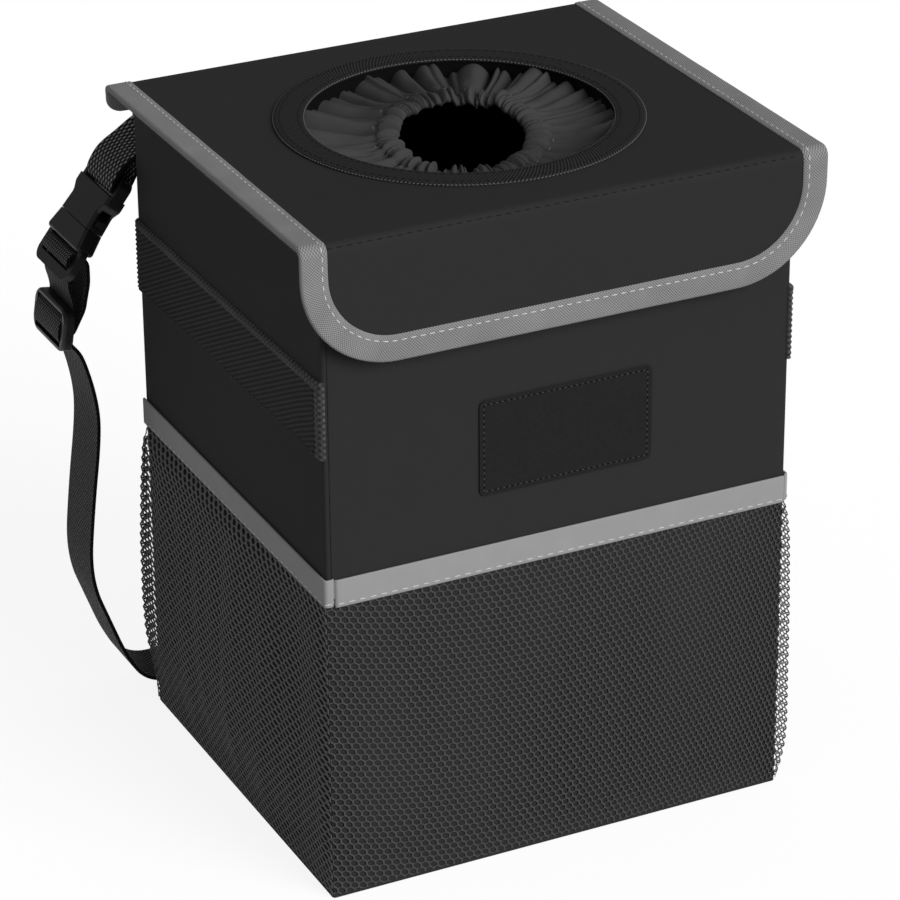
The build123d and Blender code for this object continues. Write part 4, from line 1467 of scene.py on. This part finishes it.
class TRASHBIN_OT_strap(bpy.types.Operator):
    """Webbing strap with its buckle and slider"""

    bl_idname = "trash_bin.strap"
    bl_label = "Strap"

    def execute(self, context):
        sizes = context.scene.trash_bin_sizes
        looks = finishes(context.scene.trash_bin_colours)
        for node in ("buckle_socket", "buckle_plug", "strap_slider"):
            paint(node, looks["moulded_plastic"])
        coarse = looks["coarse_webbing"]
        fine = looks["fine_webbing"]
        upper, length = self.web("upper_strap", UPPER_ROUTE, coarse, sizes, ["strap_upper"])
        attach(upper, "bin")
        loop, length = self.web("slider_loop", LOOP_ROUTE, fine, sizes, [])
        low = Vector(on_slider(-9.5, 0)[:3]) * MM
        high = Vector(on_buckle(21, 0)[:3]) * MM
        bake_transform(loop)
        lower, length = self.web("lower_strap", LOWER_ROUTE, fine, sizes, ["strap_lower"])
        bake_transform(lower)
        self.anchors(sizes, looks)
        return {"FINISHED"}

    def anchors(self, sizes, looks):
        """Box stitch with a cross on each sewn end."""
        seam = SEAMS["anchor"]
        ends = (-44.5 * MM, -13.5 * MM)
        half = sizes.web / 2 - 2.2 * MM
        y = WALL_HIGH.y + sizes.web_thick + 0.1 * MM
        corners = [(0, -1), (1, -1), (1, 1), (0, 1), (0, -1), (1, 1), (1, -1), (0, 1)]
        marks = []
        for level in (UPPER_ANCHOR * MM, LOWER_ANCHOR * MM):
            line = [Vector((ends[a], y, level + half * b)) for a, b in corners]
            marks += even_marks(line, [Y_AXIS] * len(line), seam.pitch, seam.start)
        stitches("anchor_stitches", marks, looks[seam.finish], seam.length, seam.thick, "bin", seam.slot)

    def web(self, name, route, finish, sizes, nodes):
        """Flat webbing between two smooth edge lines, its lean given with each point of the route."""
        rails = []
        for side in (-1, 1):
            points = []
            for x, y, z, lean in route:
                turn = math.radians(lean)
                reach = Vector((0, math.cos(turn), math.sin(turn))) * sizes.web / 2 * side
                points.append(Vector((x, y, z)) * MM + reach)
            rails.append(smooth_line(points))
        middle = [(a + b) / 2 for a, b in zip(*rails)]
        runs = [0.0]
        for a, b in zip(middle, middle[1:]):
            runs.append(runs[-1] + (b - a).length)
        across = 8

        def place(column, row):
            share = row / across
            return rails[0][column].lerp(rails[1][column], share), (runs[column], sizes.web * share)

        shape = cloth_grid(len(middle) - 1, across, place)
        made = piece(name, shape, finish, None, sizes.web_thick, nodes, "black_webbing")
        made.modifiers["Wall"].offset = 0.0
        return made, runs[-1]


class TRASHBIN_OT_stage(bpy.types.Operator):
    """Floor, light and camera"""

    bl_idname = "trash_bin.stage"
    bl_label = "Stage"

    def execute(self, context):
        studio = context.scene.trash_bin_studio
        self.floor()
        self.light(context, studio)
        self.camera(context, studio)
        context.scene.view_settings.view_transform = "Standard"
        return {"FINISHED"}

    def floor(self):
        """Pale floor that looks white to the camera and still takes the shadow."""
        shape = bmesh.new()
        bmesh.ops.create_grid(shape, x_segments=8, y_segments=8, size=8.0)
        bmesh.ops.translate(shape, vec=(0, 0, -0.2 * MM), verts=shape.verts)
        bounce = (0.5, 0.5, 0.5)
        shade = (0.22, 0.22, 0.22)
        glow = (0.87, 0.87, 0.87)
        finish = Finish("pale_floor", bounce, 1.0)
        finish.tree.nodes.clear()
        ray = finish.add("ShaderNodeLightPath").outputs
        seen = finish.math("MAXIMUM", ray["Is Camera Ray"], ray["Is Glossy Ray"])
        seen = finish.math("MAXIMUM", seen, ray["Is Transmission Ray"])
        plain = finish.add("ShaderNodeBsdfDiffuse", (*bounce, 1.0)).outputs[0]
        shadow = finish.add("ShaderNodeBsdfDiffuse", (*shade, 1.0)).outputs[0]
        light = finish.add("ShaderNodeEmission", (*glow, 1.0), 1.0).outputs[0]
        both = finish.add("ShaderNodeAddShader", shadow, light).outputs[0]
        mixed = finish.add("ShaderNodeMixShader", seen, plain, both).outputs[0]
        finish.add("ShaderNodeOutputMaterial", mixed)
        mesh = bpy.data.meshes.new("floor")
        shape.to_mesh(mesh)
        shape.free()
        mesh.materials.append(finish.material)
        floor = bpy.data.objects.new("floor", mesh)
        bpy.context.scene.collection.objects.link(floor)

    def light(self, context, studio):
        world = bpy.data.worlds.new("studio")
        world.use_nodes = True
        sky = world.node_tree.nodes["Background"]
        sky.inputs["Color"].default_value = (1, 1, 1, 1)
        sky.inputs["Strength"].default_value = studio.sky
        context.scene.world = world
        lamp = bpy.data.lights.new("key", "SUN")
        lamp.energy = studio.key
        lamp.angle = math.radians(40)
        key = bpy.data.objects.new("key", lamp)
        towards = Vector((0.35, -0.8, 0.45))
        key.rotation_mode = "QUATERNION"
        key.rotation_quaternion = towards.to_track_quat("Z", "Y")
        context.scene.collection.objects.link(key)

    def camera(self, context, studio):
        a, e, r = studio.azimuth, studio.elevation, studio.roll
        back = Vector((math.sin(a) * math.cos(e), -math.cos(a) * math.cos(e), math.sin(e)))
        right = Z_AXIS.cross(back).normalized()
        up = back.cross(right)
        turn = Matrix((
            right * math.cos(r) + up * math.sin(r), up * math.cos(r) - right * math.sin(r), back
        )).transposed()
        data = bpy.data.cameras.new("camera")
        data.lens = studio.lens
        data.sensor_width = 36.0
        data.clip_start = 0.05
        data.clip_end = 50.0
        camera = bpy.data.objects.new("camera", data)
        camera.matrix_world = Matrix.Translation(studio.eye) @ turn.to_4x4()
        context.scene.collection.objects.link(camera)
        context.scene.camera = camera


STEPS = ("inside", "walls", "pockets", "grips", "patch", "lid", "binding", "mouth", "strap", "stage")


class TRASHBIN_PT_panel(bpy.types.Panel):
    """Steps that dress the bin, in order"""

    bl_idname = "TRASHBIN_PT_panel"
    bl_label = "Trash Bin"
    bl_space_type = "VIEW_3D"
    bl_region_type = "UI"
    bl_category = "Trash Bin"

    def draw(self, context):
        for step in STEPS:
            self.layout.operator(f"trash_bin.{step}")
        for group in ("trash_bin_sizes", "trash_bin_colours", "trash_bin_studio"):
            values = getattr(context.scene, group)
            for key in values.bl_rna.properties.keys():
                if key not in ("rna_type", "name"):
                    self.layout.prop(values, key)


CLASSES = (
    TrashBinSizes, TrashBinColours, TrashBinStudio,
    TRASHBIN_OT_inside, TRASHBIN_OT_walls, TRASHBIN_OT_pockets, TRASHBIN_OT_grips, TRASHBIN_OT_patch,
    TRASHBIN_OT_lid, TRASHBIN_OT_binding, TRASHBIN_OT_mouth, TRASHBIN_OT_strap, TRASHBIN_OT_stage,
    TRASHBIN_PT_panel,
)


def register():
    for entry in CLASSES:
        bpy.utils.register_class(entry)
    bpy.types.Scene.trash_bin_sizes = PointerProperty(type=TrashBinSizes)
    bpy.types.Scene.trash_bin_colours = PointerProperty(type=TrashBinColours)
    bpy.types.Scene.trash_bin_studio = PointerProperty(type=TrashBinStudio)


def unregister():
    del bpy.types.Scene.trash_bin_sizes
    del bpy.types.Scene.trash_bin_colours
    del bpy.types.Scene.trash_bin_studio
    for entry in reversed(CLASSES):
        bpy.utils.unregister_class(entry)


def main():
    register()
    for step in STEPS:
        getattr(bpy.ops.trash_bin, step)()


if __name__ == "__main__":
    main()
